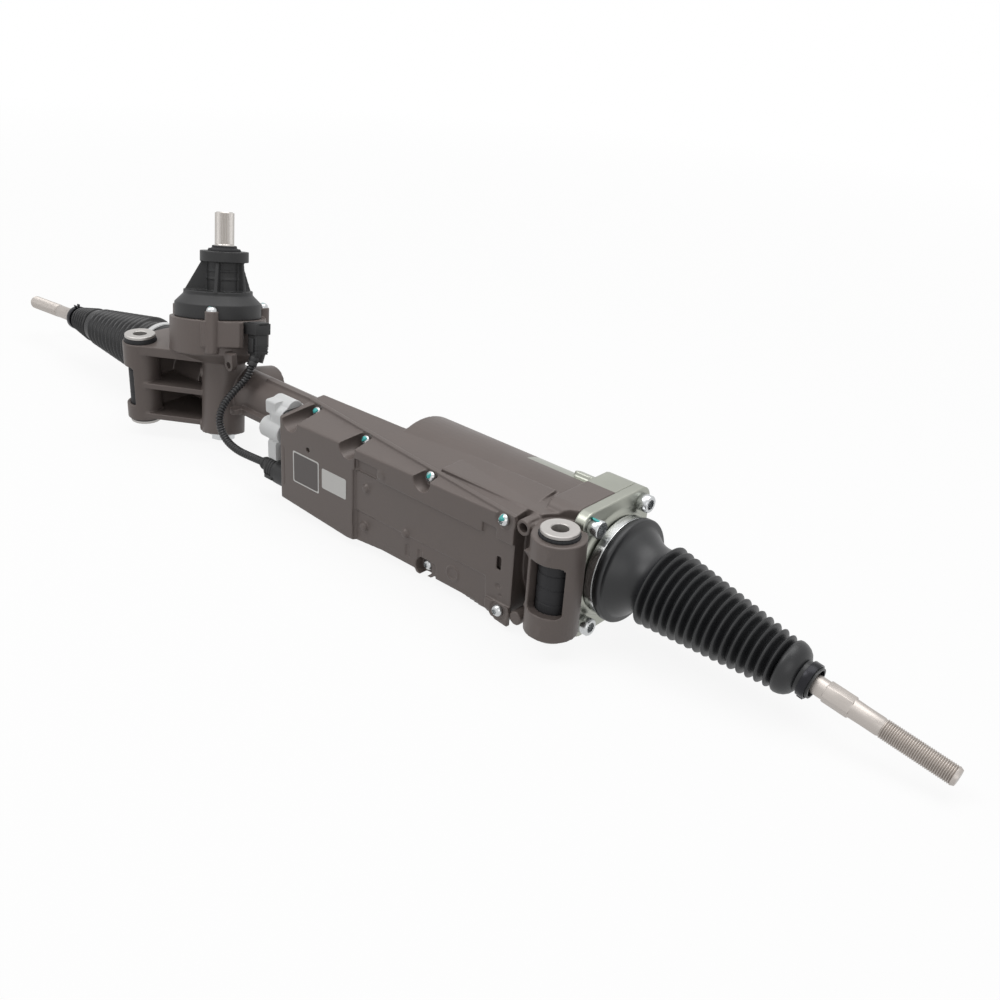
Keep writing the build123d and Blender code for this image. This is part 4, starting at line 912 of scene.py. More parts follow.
@dataclass
class Bellows:
    """Rubber bellows of one end, in three lengths."""

    end: str
    side: int
    origin: Vector
    droop: float
    mouth: tuple[Point, ...]
    cone: tuple[Point, Point]
    crests: tuple[tuple[Point, Point, int], ...]
    lands: tuple[tuple[Point, ...], ...]
    cuts: tuple[float, float]
    tip: float
    depth: float = 5.0
    wall: float = 1.5
    cone_steps: int = 14
    cone_bow: float = 2.2
    hold: float = 8.0
    finish: Finish = BELLOWS_RUBBER

    def _neck(self) -> list[Ring]:
        """Draw the mouth, and the cone that bends into the droop.

        Returns:
            Their rings, from the housing on.
        """
        rings = [(Vector((x, RACK_Y, RACK_Z)), ACROSS, UP * self.side, r) for x, r in self.mouth]
        (cone_x, cone_r), (_, neck_r) = self.cone
        start = Vector((cone_x, RACK_Y, RACK_Z))
        for k in range(1, self.cone_steps):
            share = k / self.cone_steps
            ahead = drooping(self.side, self.droop * share)
            bow = self.cone_bow * math.sin(math.pi * share)
            radius = cone_r + (neck_r - cone_r) * share - bow
            rings.append((start.lerp(self.origin, share), ACROSS, ahead.cross(ACROSS), radius))
        return rings

    def _fold(self, first: Point, last: Point, count: int) -> list[Point]:
        """Return rounded folds from one crest to the last.

        Args:
            first: Place along the axis and radius of the first crest.
            last: The same of the last crest.
            count: Number of crests.

        Returns:
            Places along the axis and radii, from valley to valley.
        """
        pitch = (last[0] - first[0]) / (count - 1)
        steps = 12
        points = []
        for k in range(count * steps + 1):
            share = k / steps - 0.5
            crest = first[1] + (last[1] - first[1]) * share / (count - 1)
            wave = 0.5 + 0.5 * math.cos(2 * math.pi * share)
            points.append((first[0] + pitch * share, crest - self.depth * (1 - wave ** 0.8)))
        return points

    def build(self) -> None:
        """Make the three lengths and the collar, and bake each in place."""
        axis = drooping(self.side, self.droop)
        profile: list[Point] = []
        for group, land in zip(self.crests, self.lands):
            profile += self._fold(*group) + list(land)
        neck = self._neck()
        rings = neck + [(self.origin + axis * s, ACROSS, axis.cross(ACROSS), r) for s, r in profile]
        places = [None] * len(neck) + [s for s, _ in profile]
        edges = [0]
        for cut in self.cuts:
            edges.append(next(i for i, s in enumerate(places) if s is not None and s >= cut))
        edges.append(len(rings) - 1)
        seat, rod = f"{self.end}_seat", f"{self.end}_rod"
        bodies = (("housing", "rack"), ("rack", seat), (seat, rod))
        for part, (pair, a, b) in enumerate(zip(bodies, edges, edges[1:])):
            outer = rings[a:b + 1]
            inner = [(c, u, v, r - self.wall) for c, u, v, r in reversed(outer)]
            piece = Workpiece.skin(f"{self.end}_bellows_{part + 1}", outer + inner, steps=80)
            piece.dress(self.finish, 50.0)
            start = self.origin - axis * self.hold if part == 0 else self.origin + axis * places[a]
            end = self.origin + axis * (places[b] if part < 2 else self.tip)
            piece.stretch("rubber", pair, start, end, f"{self.end}_boot")


@dataclass
class TieRod:
    """Tie rod of one end with its thread, hexagon and neck, and the clamp of the bellows."""

    end: str
    side: int
    ball_x: float
    droop: float
    clamp_at: float
    clamp_r: float
    length: float = 216.0
    rod_r: float = 6.7
    thread_r: float = 7.0
    neck_r: float = 6.0
    ball_r: float = 13.0
    hexagon: tuple[float, float] = (121.0, 141.0)
    hexagon_r: float = 8.1
    thread: tuple[float, float] = (163.0, 215.2)
    pitch: float = 1.5
    band_w: float = 6.0
    band_t: float = 1.3
    ear_h: float = 3.6

    def place(self, along: float = 0.0) -> Place:
        """Return the frame on the rod's axis at a distance from the ball."""
        centre = Vector((self.ball_x, RACK_Y, RACK_Z))
        return Place(centre, ACROSS, drooping(self.side, self.droop)).moved(along)

    def rod(self) -> None:
        """Turn the ball, neck and shank, and cut the thread as rings of its pitch."""
        ball = [
            (self.ball_r * math.sin(math.radians(t)), -self.ball_r * math.cos(math.radians(t)))
            for t in range(0, 153, 6)
        ]
        shank = [(self.neck_r, 13.6), (self.neck_r, 38.0), (self.rod_r, 44.0)]
        hex_from, hex_to = self.hexagon
        thread_from, thread_to = self.thread
        body = [
            (self.rod_r, 70.0), (self.rod_r + 0.2, 100.0), (self.rod_r + 0.2, hex_to),
            (self.rod_r, hex_to + 9.0), (self.rod_r, thread_from - 1.5),
            (self.rod_r - 0.5, thread_from - 0.4),
        ]
        valley_r, crest_r = self.thread_r - 0.85, self.thread_r - 0.05
        ridge = []
        for k in range(int((thread_to - thread_from) / self.pitch)):
            s = thread_from + k * self.pitch
            ridge += [(valley_r, s + 0.1), (crest_r, s + 0.7), (crest_r, s + 0.95)]
        tip = [(self.thread_r - 1.2, self.length), (0.0, self.length)]
        profile = ball + shank + body + ridge + tip
        rod = Workpiece.lathe(f"{self.end}_tie_rod_turned", self.place(), profile)
        corners = [polar(self.hexagon_r, math.radians(60 * k)) for k in range(6)]
        nut = Workpiece.prism("hexagon", self.place(hex_from), corners, hex_to - hex_from).bevel(0.9)
        rod.fuse(nut).dress(RAW_STEEL, 30.0).mount(f"{self.end}_rod", "steel", f"{self.end}_tie_rod")

    def clamp(self) -> None:
        """Bend the spring clamp of the bellows' collar, with its two ears."""
        at = self.place(self.clamp_at)
        r = self.clamp_r
        section = [(r, 0.0), (r + self.band_t, 0.0), (r + self.band_t, self.band_w), (r, self.band_w)]
        band = Workpiece.lathe(f"{self.end}_rod_clamp_band", at, section).bevel(0.35)
        for x in (-1.0, 1.0):
            ear = Workpiece.prism(
                "ear", Place(at.origin, ACROSS, at.z_dir).moved(0.4 + 0.6 * x),
                [(x * 2.4 - 0.5, -r - self.ear_h), (x * 2.4 + 0.5, -r - self.ear_h),
                 (x * 1.6 + 0.5, -r + 0.2), (x * 1.6 - 0.5, -r + 0.2)], 4.6,
            ).bevel(0.25)
            band.fuse(ear)
        band.dress(BLACK_SPRING).mount(f"{self.end}_rod", "steel", f"{self.end}_rod_clamp")


@dataclass(frozen=True)
class Screw:
    """A screw with the shape of its head and of the drive in it."""

    head_r: float
    head_t: float
    drive: tuple[float, float, int]
    drive_depth: float
    shank_r: float
    shank_length: float
    domed: bool

    def make(self, name: str, place: Place) -> Workpiece:
        """Turn the screw and press its drive.

        Args:
            name: Name of the piece.
            place: Frame under the head, with z outward.

        Returns:
            The screw.
        """
        r, t = self.head_r, self.head_t
        crown = [(r - 0.25, 0.0), (r, 0.3), (r, t - 0.9), (r - 0.7, t)]
        if self.domed:
            shares = ((0.95, 0.45), (0.82, 0.7), (0.64, 0.9))
            crown = [(r, 0.0), (r, 0.9), *((a * r, b * t) for a, b in shares), (0.5 * r, t)]
        shank = [(0.0, -self.shank_length), (self.shank_r, -self.shank_length), (self.shank_r, 0.0)]
        screw = Workpiece.lathe(name, place, shank + crown + [(0.0, t)], 56)
        floor = place.moved(t - self.drive_depth)
        return screw.cut(Workpiece.prism("drive", floor, star(*self.drive), self.drive_depth + 1.0))


def lacquer(name: str, place: Place, size: Point, body: str) -> None:
    """Brush a drop of lacquer over the edge of a screw.

    Args:
        name: Name of the piece.
        place: Frame at the drop's middle, with z away from the metal.
        size: Radius and thickness of the drop.
        body: Body that it dries on.
    """
    r, t = size
    shares = ((0.0, -1.0), (0.8, -1.0), (1.0, -0.3), (0.86, 0.4), (0.5, 0.85), (0.0, 1.0))
    drop = Workpiece.lathe(name, place, [(a * r, b * t) for a, b in shares], 20)
    drop.change("SUBSURF", levels=1, render_levels=1).smear(0.28 * r, 1.3 * r)
    drop.dress(LACQUER, 180.0).mount(body, "plastic")


COVER_SCREW = Screw(4.8, 4.1, (2.5, 1.85, 6), 2.2, 2.45, 16.0, True)
CAP_SCREW = Screw(6.75, 8.4, (4.3, 3.6, 12), 4.6, 3.95, 30.0, False)


@dataclass
class ControlUnit:
    """Cover, labels, screws and plugs of the control unit."""

    front_y: float = -8.0
    left_x: float = -40.0
    right_x: float = 218.0
    joint: tuple[float, float] = (29.0, -4.0)
    lip: float = 4.0
    top_screws: tuple[Point, ...] = ((-26.0, 75.0), (44.5, 75.5), (128.0, 77.5), (211.0, 78.0))
    foot_screws: tuple[Point, ...] = ((129.5, 2.5), (211.0, 2.5))
    middle: tuple[Point, ...] = (
        (51.4, -6.5), (197.3, -6.5), (197.3, 8.3), (222.5, 8.3), (222.5, 60.7), (203.6, 60.7),
        (203.6, 68.7), (190.4, 68.7), (190.4, 60.1), (51.4, 59.7),
    )
    foot: tuple[Point, ...] = ((51.9, -5.7), (196.5, -5.7), (194.6, 24.2), (51.9, 23.7))
    middle_depth: float = 2.3
    foot_depth: float = 3.4
    slots: tuple[Point, ...] = ((112.0, 10.0), (125.5, 11.0), (206.5, 40.0))
    holes: tuple[tuple[float, float, float], ...] = (
        (207.6, 21.2, 2.4), (-3.6, 57.0, 2.2), (210.0, 14.2, 1.3),
    )
    knobs: tuple[Point, ...] = ((65.0, 47.0), (63.0, 12.0), (84.0, 64.0), (110.0, 25.0))
    knob: tuple[Point, ...] = ((0.0, 0.0), (4.2, 0.0), (3.5, 2.4), (2.4, 3.3), (0.0, 3.5))
    well_r: float = 7.75
    well_flare: float = 1.7
    grid: float = 0.6
    film_corner: float = 1.6
    films: tuple[tuple[str, Finish, tuple[float, float, float, float], float], ...] = (
        ("rating_film_frame", PALE_FILM, (-22.5, 50.5, 10.3, 22.0), 0.16),
        ("rating_film", DARK_FILM, (-21.2, 49.2, 9.0, 23.3), 0.24),
        ("blank_film", PALE_FILM, (14.2, 47.3, 43.6, 29.3), 0.2),
    )
    lead_end: Point = (6.0, 14.0)

    def seat(self, x: float, z: float) -> Place:
        """Find the frame under a screw's head, on the slanting lip.

        Args:
            x: Place of the screw along the unit.
            z: Its height.

        Returns:
            The frame, with z out of the lip.
        """
        near, far = self.joint
        slope = (far - near) / (self.right_x - self.left_x)
        out = Vector((slope, -1.0, 0.0)).normalized()
        point = Vector((x, near + slope * (x - self.left_x), z))
        return Place(point, Vector((1.0, slope, 0.0)), out).moved(self.lip + 0.02)

    def front(self, x: float, z: float, depth: float = 0.0) -> Place:
        """Return a frame on the front of the cover, with x to the right and z outward."""
        return Place(Vector((x, self.front_y + depth, z)), AHEAD, FRONT)

    def beside(self, gap: float) -> Place:
        """Return a frame at a gap left of the unit, with y down and z away from it."""
        return Place(Vector((self.left_x - gap, 0.0, 0.0)), ACROSS, -AHEAD)

    def _block(
        self, name: str, at: Point, size: Point, radius: float, depth: float, height: float
    ) -> Workpiece:
        """Make a rounded block that starts behind the front and stands towards the viewer.

        Args:
            name: Name of the piece.
            at: Its middle, along x and z.
            size: Its width and height.
            radius: Radius of its corners.
            depth: How far behind the front it starts.
            height: How far it stands out from there.

        Returns:
            The block.
        """
        return Workpiece.prism(name, self.front(*at, depth), rounded_box(*size, radius), height)

    def _step_back(self, cast: Workpiece, notch: Point) -> None:
        """Let the front step back from its raised face, and cut the slots, the notch and the groove.

        Args:
            cast: The cover.
            notch: Middle of the notch at the foot screw.
        """
        for outline, depth in ((self.middle, self.middle_depth), (self.foot, self.foot_depth)):
            cast.cut(Workpiece.prism("step", self.front(0.0, 0.0, depth), list(outline), depth + 2.0))
        for slot in self.slots:
            cast.cut(self._block("slot", slot, (4.4, 11.0), 1.4, 4.4, 6.0))
        cast.cut(
            self._block("box", (66.0, 65.0), (26.0, 10.0), 2.0, 2.9, 6.0),
            self._block("notch", notch, (16.0, 19.0), 3.0, 5.6, 9.0),
            self._block("groove", (-34.0, 32.0), (1.4, 36.0), 0.6, 0.9, 3.0),
        )

    def _open_wells(self, cast: Workpiece) -> None:
        """Cut the wells over the screws, flared along the top edge, and the round holes.

        Args:
            cast: The cover.
        """
        foot_height = 20.0
        for x, z in self.top_screws + self.foot_screws:
            at = self.seat(x, z)
            reach = at.origin.y - self.front_y + 1.0
            mouth_r = self.well_r + (min(0.1 * reach, self.well_flare) if z > foot_height else 0.0)
            section = [(0.0, 0.0), (self.well_r, 0.0), (mouth_r, reach), (0.0, reach)]
            cast.cut(Workpiece.lathe("funnel", Place(at.origin, AHEAD, FRONT), section, 48))
        for x, z, r in self.holes:
            cast.cut(Workpiece.prism("hole", self.front(x, z, 3.4), circle(r, 24), 6.0))

    def _set_knobs(self, cast: Workpiece) -> None:
        """Set the knobs and the shallow round mark of the mould on the front.

        Args:
            cast: The cover.
        """
        for x, z in self.knobs:
            cast.fuse(Workpiece.lathe("knob", self.front(x, z, 3.4), list(self.knob), 32))
        section = [(5.2, 0.0), (6.2, 0.0), (6.2, 1.2), (5.2, 1.2)]
        cast.fuse(Workpiece.lathe("mark", self.front(161.0, 11.0, 3.8), section, 40))

    def cover(self) -> None:
        """Cast the cover, with a wall behind its foot and its notch."""
        cast = Workpiece.copy_of("control_unit_cover_casting", "control_unit_cover")
        notch_x, notch_z = self.foot_screws[0][0] + 5.5, self.foot_screws[0][1] - 1.5
        cast.fuse(self._block("wall", (132.0, 14.0), (160.0, 19.0), 2.0, 5.6, 3.2))
        cast.fuse(self._block("wall", (notch_x, notch_z + 7.0), (21.0, 12.0), 2.0, 6.8, 2.4))
        cast.recast(self.grid, 0)
        self._step_back(cast, (notch_x, notch_z))
        self._open_wells(cast)
        self._set_knobs(cast)
        cast.recast(self.grid, 1).dress(COATED_CASTING, 180.0)
        cast.mount("housing", "cast", "control_unit_cover")

    def labels(self) -> None:
        """Lay the bare films on the front, the dark one on its pale frame."""
        sunk = 0.1
        for name, finish, (left, top, right, low), lift in self.films:
            outline = rounded_box(right - left, top - low, self.film_corner)
            at = self.front((left + right) / 2, (top + low) / 2, sunk)
            film = Workpiece.prism(name, at, outline, sunk + lift)
            film.dress(finish, 30.0).mount("housing", "plastic")

    def screws(self) -> None:
        """Set the six screws, four of them with a drop of lacquer."""
        heads = [
            COVER_SCREW.make(f"cover_screw_{k}", self.seat(x, z))
            for k, (x, z) in enumerate(self.top_screws + self.foot_screws)
        ]
        heads[0].fuse(*heads[1:]).dress(ZINC_PLATE, 40.0).mount("housing", "zinc", "cover_screws")
        for k, (x, z) in enumerate(self.top_screws):
            at = self.seat(x, z).moved(3.3, 0.4)
            spot = Place(at.origin + UP * 2.6, AHEAD, UP + FRONT)
            lacquer(f"cover_screw_lacquer_{k + 1}", spot, (2.7, 0.9), "housing")

    def cap(self) -> None:
        """Mould the dust cap: a skirt, two lobes, a square grip and a tab."""
        middle = (11.5, -60.0)
        skirt = rounded_box(29.5, 35.5, 8.0, middle)
        cap = Workpiece.prism("connector_cap_moulding", self.beside(3.5), skirt, 13.5)
        for name, gap, outline, height in (
            ("lobe", 3.5, circle(9.2, 40, (12.0, -73.4)), 22.0),
            ("lobe", 3.5, circle(9.6, 40, (1.5, -55.4)), 24.0),
            ("waist", 3.5, rounded_box(13.0, 22.0, 5.0, (6.8, -64.5)), 20.0),
            ("grip", 12.0, rounded_box(11.0, 12.0, 1.2, (3.0, -75.5)), 12.5),
            ("tab", 8.0, rounded_box(9.0, 17.0, 1.5, (-1.5, -38.5)), 10.5),
        ):
            cap.fuse(Workpiece.prism(name, self.beside(gap), outline, height))
        hollow = Workpiece.prism("hollow", self.beside(2.0), rounded_box(26.6, 32.6, 5.5, middle), 13.2)
        cap.recast(0.5, 8).cut(hollow).dress(POLYETHYLENE, 50.0).mount("housing", "clear", "connector_cap")

    def plug(self) -> None:
        """Turn the round plug of the lead, with its grip ribs, its bayonet lugs and its boot."""
        at = Place(Vector((self.left_x - 5.0, *self.lead_end)), ACROSS, -AHEAD)
        profile = [
            (0.0, 0.0), (8.8, 0.0), (8.8, 8.8), (11.2, 9.2), (11.4, 10.0), (11.4, 12.2), (10.3, 13.0),
        ]
        for k in range(3):
            s = 14.0 + 3.0 * k
            profile += [(10.2, s), (10.8, s + 0.6), (10.8, s + 1.6), (10.2, s + 2.2)]
        profile += [
            (10.0, 23.4), (7.4, 26.4), (6.0, 27.4), (5.9, 29.0), (5.3, 29.6), (5.3, 31.2), (5.9, 31.8),
            (5.9, 33.2), (5.2, 33.9), (5.2, 34.9), (0.0, 34.9),
        ]
        plug = Workpiece.lathe("signal_plug_moulding", at, profile)
        for degrees in (40, 160, 280):
            spot = at.moved(10.4, *polar(10.6, math.radians(degrees)))
            plug.fuse(Workpiece.prism("lug", spot, rounded_box(3.6, 3.6, 1.0), 10.0).bevel(0.4))
        plug.dress(NYLON, 40.0).mount("housing", "plastic", "signal_plug")

    def build(self) -> None:
        """Make all pieces of the control unit."""
        self.cover()
        self.labels()
        self.screws()
        self.cap()
        self.plug()


@dataclass
class Tower:
    """Dome of the torque sensor, the column on it, the input shaft and the sensor's plug."""

    shift: float = -9.0
    collar_top: float = 127.0
    ring_feet: tuple[float, ...] = (101.5, 108.8)
    ring_r: float = 16.1
    ring_w: float = 1.4
    column_r: float = 14.0
    screw_h: float = 75.02
    screw_ring: float = 45.0
    screw_turns: tuple[float, ...] = (-44.0, 76.0, 196.0)
    spline: tuple[float, float] = (133.0, 161.2)
    plug_at: Point = (47.5, 2.0)
    boot_bend: Vector = Vector((-142.2, 47.0, 85.6))
    boot_end: Vector = Vector((-141.7, 42.0, 77.8))
    boot_r: float = 5.6
    boot_taper: float = 1.2

    def at(self, h: float, x: float = 0.0, y: float = 0.0) -> Place:
        """Return the frame on the shaft's axis at a height, moved across it."""
        return Place(TOWER_FOOT, TOWER_X, LEAN).moved(h, x, y)

    def cover(self) -> None:
        """Mould the dome, and ring its column."""
        dome = Workpiece.copy_of("sensor_cover_moulding", "sensor_cover")
        inner, outer = self.column_r, self.ring_r
        section = [(inner, 0.0), (outer, 0.0), (outer, self.ring_w), (inner, self.ring_w)]
        for foot in self.ring_feet:
            dome.fuse(Workpiece.lathe("ring", self.at(foot), section, 64))
        dome.recast(0.6, 2).dress(NYLON, 180.0).mount("housing", "plastic", "sensor_cover")

    def seal(self) -> None:
        """Turn the shaft's seal with its dust lip."""
        section = [
            (9.15, -5.8), (12.9, -5.8), (12.9, 0.05), (14.9, 0.1), (15.0, 0.8), (14.2, 2.2), (12.0, 2.5),
            (11.4, 3.0), (11.2, 4.6), (10.6, 5.0), (9.15, 4.9),
        ]
        seal = Workpiece.lathe("shaft_seal_lips", self.at(self.collar_top), section)
        seal.dress(BUSH_RUBBER, 40.0).mount("housing", "rubber", "shaft_seal")

    def shaft(self) -> None:
        """Turn the input shaft and roll its splines."""
        low, high = self.spline
        section = [
            (0.0, 140.0), (4.4, 140.0), (4.4, 60.0), (5.6, 60.0), (5.6, 36.0), (9.0, 36.0),
            (9.0, low - 0.6), (8.7, low), (7.9, low + 0.8), (7.9, high), (7.2, 162.0), (3.2, 162.0),
            (2.6, 161.0), (0.0, 160.2),
        ]
        shaft = Workpiece.lathe("input_shaft_turned", self.at(0.0), section)
        teeth = Workpiece.prism("teeth", self.at(low + 0.4), star(8.75, 8.05, 36), high - low - 0.4)
        shaft.fuse(teeth).dress(TURNED_STEEL, 30.0).mount("input", "steel", "input_shaft")

    def screws(self) -> None:
        """Set the three screws of the dome, each with a drop of lacquer."""
        heads = []
        for k, degrees in enumerate(self.screw_turns):
            aside, y = polar(self.screw_ring, math.radians(degrees))
            x = self.shift + aside
            spot = self.at(self.screw_h, x, y)
            heads.append(COVER_SCREW.make(f"dome_screw_{k}", spot))
            out = (TOWER_X * (x - self.shift) + LEAN.cross(TOWER_X) * y).normalized()
            drop = Place(spot.moved(2.6).origin + out * 2.2 - TOWER_X * 1.6, TOWER_X, LEAN + out)
            lacquer(f"dome_screw_lacquer_{k + 1}", drop, (2.6, 0.9), "housing")
        heads[0].fuse(*heads[1:]).dress(ZINC_PLATE, 40.0).mount("housing", "zinc", "sensor_cover_screws")

    def socket(self) -> None:
        """Mould the socket on the cup, with its rim."""
        socket = Workpiece.copy_of("sensor_socket_moulding", "sensor_socket").bevel(0.7)
        rim = Workpiece.prism("rim", self.at(64.2, *self.plug_at), rounded_box(15.0, 16.0, 3.0), 2.6)
        socket.fuse(rim.bevel(0.5)).dress(NYLON, 40.0).mount("housing", "plastic", "sensor_socket")

    def boot(self) -> Workpiece:
        """Bend the tapered boot from the plug's line into the lead's.

        Returns:
            The boot.
        """
        start, bend, end = self.at(41.0, *self.plug_at).origin, self.boot_bend, self.boot_end
        steps, groove, bore_r = 14, 0.5, 0.05
        rings = []
        for k in range(steps + 1):
            t = k / steps
            point = start * (1 - t) ** 2 + bend * 2 * t * (1 - t) + end * t ** 2
            w = ((bend - start) * (1 - t) + (end - bend) * t).normalized()
            u = w.cross(AHEAD).normalized()
            radius = self.boot_r - self.boot_taper * t - (groove if k % 4 == 3 else 0.0)
            rings.append((point, u, w.cross(u), radius))
        bore = [(point, u, v, bore_r) for point, u, v, _ in reversed(rings)]
        return Workpiece.skin("boot", rings + bore, steps=32)

    def plug(self) -> bpy.types.Object:
        """Mould the plug in the socket, with its latch, its ribs and its boot.

        Returns:
            The plug, which carries the lead's upper end.
        """
        plug = Workpiece.copy_of("sensor_plug_moulding", "sensor_plug").bevel(0.6)
        latch = Workpiece.prism("latch", self.at(40.0, 48.0, -5.6), rounded_box(6.0, 3.0, 0.8), 13.0)
        plug.fuse(latch.bevel(0.4))
        band = rounded_box(14.2, 15.0, 2.4)
        for k in range(3):
            plug.fuse(Workpiece.prism("rib", self.at(39.6 + 3.0 * k, *self.plug_at), band, 1.2).bevel(0.3))
        plug.fuse(self.boot()).dress(NYLON, 40.0).mount("housing", "plastic", "sensor_plug")
        return plug.item

    def build(self) -> bpy.types.Object:
        """Make all pieces of the tower.

        Returns:
            The plug, which carries the lead's upper end.
        """
        self.cover()
        self.seal()
        self.shaft()
        self.screws()
        self.socket()
        return self.plug()


@dataclass
class Bush:
    """Rubber bush of one lug: sleeve with its washers, and the rubber round it."""

    end: str
    x: float
    lug_top: float
    height: float = 87.0
    lug_foot: float = 4.5
    rubber_r: float = 12.9
    groove_r: float = 12.45
    teeth: int = 24
    tooth_ring: float = 14.4

    def build(self) -> None:
        """Turn the sleeve and mould the rubber, with grooves between the lug's arms and a toothed rim."""
        at = Place(Vector((self.x, 0.0, 0.0)), AHEAD, UP)
        top = self.height
        spool = [
            (6.25, 0.5), (6.75, 0.0), (13.4, 0.0), (14.0, 0.5), (14.0, 2.6), (13.6, 3.0), (9.0, 3.0),
            (9.0, top - 3.0), (13.6, top - 3.0), (14.0, top - 2.6), (14.0, top - 0.5), (13.4, top),
            (6.9, top), (6.25, top - 0.7),
        ]
        sleeve = Workpiece.lathe(f"{self.end}_bush_sleeve_turned", at, spool)
        sleeve.dress(SATIN_STEEL, 30.0).mount("housing", "zinc", f"{self.end}_bush_sleeve")
        rubber = [(9.05, 3.05), (13.2, 3.05), (14.9, 3.3), (15.0, 3.8), (14.6, 4.45), (self.rubber_r, 4.5)]
        for share in (0.35, 0.5, 0.65):
            s = self.lug_foot + (self.lug_top - self.lug_foot) * share
            rubber += [
                (self.rubber_r, s - 0.9), (self.groove_r, s - 0.5), (self.groove_r, s + 0.5),
                (self.rubber_r, s + 0.9),
            ]
        rubber += [
            (self.rubber_r, self.lug_top - 0.1), (14.9, self.lug_top + 0.1), (15.0, self.lug_top + 0.9),
            (14.4, top - 3.3), (13.2, top - 3.05), (9.05, top - 3.05),
        ]
        ring = Workpiece.lathe(f"{self.end}_bush_rubber_moulding", at, rubber)
        for k in range(self.teeth):
            spot = at.moved(self.lug_top + 0.2, *polar(self.tooth_ring, 2 * math.pi * k / self.teeth))
            ring.fuse(Workpiece.prism("tooth", spot, circle(0.75, 8), 1.5))
        ring.dress(BUSH_RUBBER, 40.0).mount("housing", "rubber", f"{self.end}_bush_rubber")


@dataclass
class Housing:
    """The rack housing, with the soft edges of die casting."""

    lug_front: float = -18.6
    ejectors: tuple[Point, ...] = ((256.5, 73.0), (256.0, 12.6))
    ejector_r: float = 5.4
    boss: tuple[float, float, float] = (218.0, 15.2, 45.6)
    boss_way: Vector = Vector((0.0, 0.34, 0.94))
    bare_from: float = 168.0
    case_r: float = 48.0

    def _bare(self, at: Vector) -> bool:
        """Tell the back of the motor case, which gets the bare finish, from the coated skin.

        Args:
            at: Point in millimetres.

        Returns:
            Whether the metal is bare there.
        """
        y, z = at.y - RACK_Y, at.z - RACK_Z
        behind = y > 7.0 and math.atan2(y, z) < 2.0
        return at.x > self.bare_from and behind and math.hypot(y, z) > self.case_r

    def build(self) -> None:
        """Cast the housing, with the round marks of its ejectors and the boss on the motor case."""
        cast = Workpiece.copy_of("rack_housing_casting", "rack_housing")
        for x, z in self.ejectors:
            spot = Place(Vector((x, self.lug_front, z)), AHEAD, FRONT)
            cast.fuse(Workpiece.prism("mark", spot, circle(self.ejector_r, 36), 1.3))
        x, y, z = self.boss
        boss = Place(Vector((x, RACK_Y + y, RACK_Z + z)), AHEAD, self.boss_way)
        cast.fuse(Workpiece.prism("boss", boss, rounded_box(17.0, 9.0, 3.0), 5.4))
        cast.recast(0.8, 1).dress(COATED_CASTING, 180.0)
        cast.paint(BARE_CASTING, self._bare).mount("housing", "cast", "rack_housing")


@dataclass
class EndCover:
    """The bare end cover at the motor, with the neck of the bellows and four bolts."""

    collar_x: float = 261.0
    bolt_x: float = 261.42
    bolt_y: float = 29.5
    bolt_z: float = 40.5

    def casting(self) -> None:
        """Cast the end cover with its rounded collar."""
        cast = Workpiece.copy_of("end_cover_casting", "end_cover")
        collar = Place(RACK_LINE + AHEAD * self.collar_x, ACROSS, AHEAD)
        ring = [(34.0, 0.0), (43.0, 0.0), (40.5, 2.2), (38.0, 3.4), (34.0, 3.6)]
        cast.fuse(Workpiece.lathe("collar", collar, ring, 96))
        cast.recast(0.7, 3).dress(BARE_CASTING, 180.0).mount("housing", "bare", "end_cover")

    def bolts(self) -> None:
        """Set the bolts, with a drop of lacquer on the one in front at the top."""
        bolts = []
        corners = [(y, z) for y in (-self.bolt_y, self.bolt_y) for z in (-self.bolt_z, self.bolt_z)]
        for k, (y, z) in enumerate(corners):
            spot = Place(RACK_LINE + AHEAD * self.bolt_x + ACROSS * y + UP * z, ACROSS, AHEAD)
            bolts.append(CAP_SCREW.make(f"end_cover_bolt_{k}", spot))
            if y < 0.0 < z:
                drop = Place(spot.origin + AHEAD * 3.0 + UP * 6.3, AHEAD, UP + ACROSS * 0.4)
                lacquer("end_cover_bolt_lacquer", drop, (3.4, 0.9), "housing")
        bolts[0].fuse(*bolts[1:]).dress(ZINC_PLATE, 40.0).mount("housing", "zinc", "end_cover_bolts")

    def build(self) -> None:
        """Make the cover and its bolts."""
        self.casting()
        self.bolts()


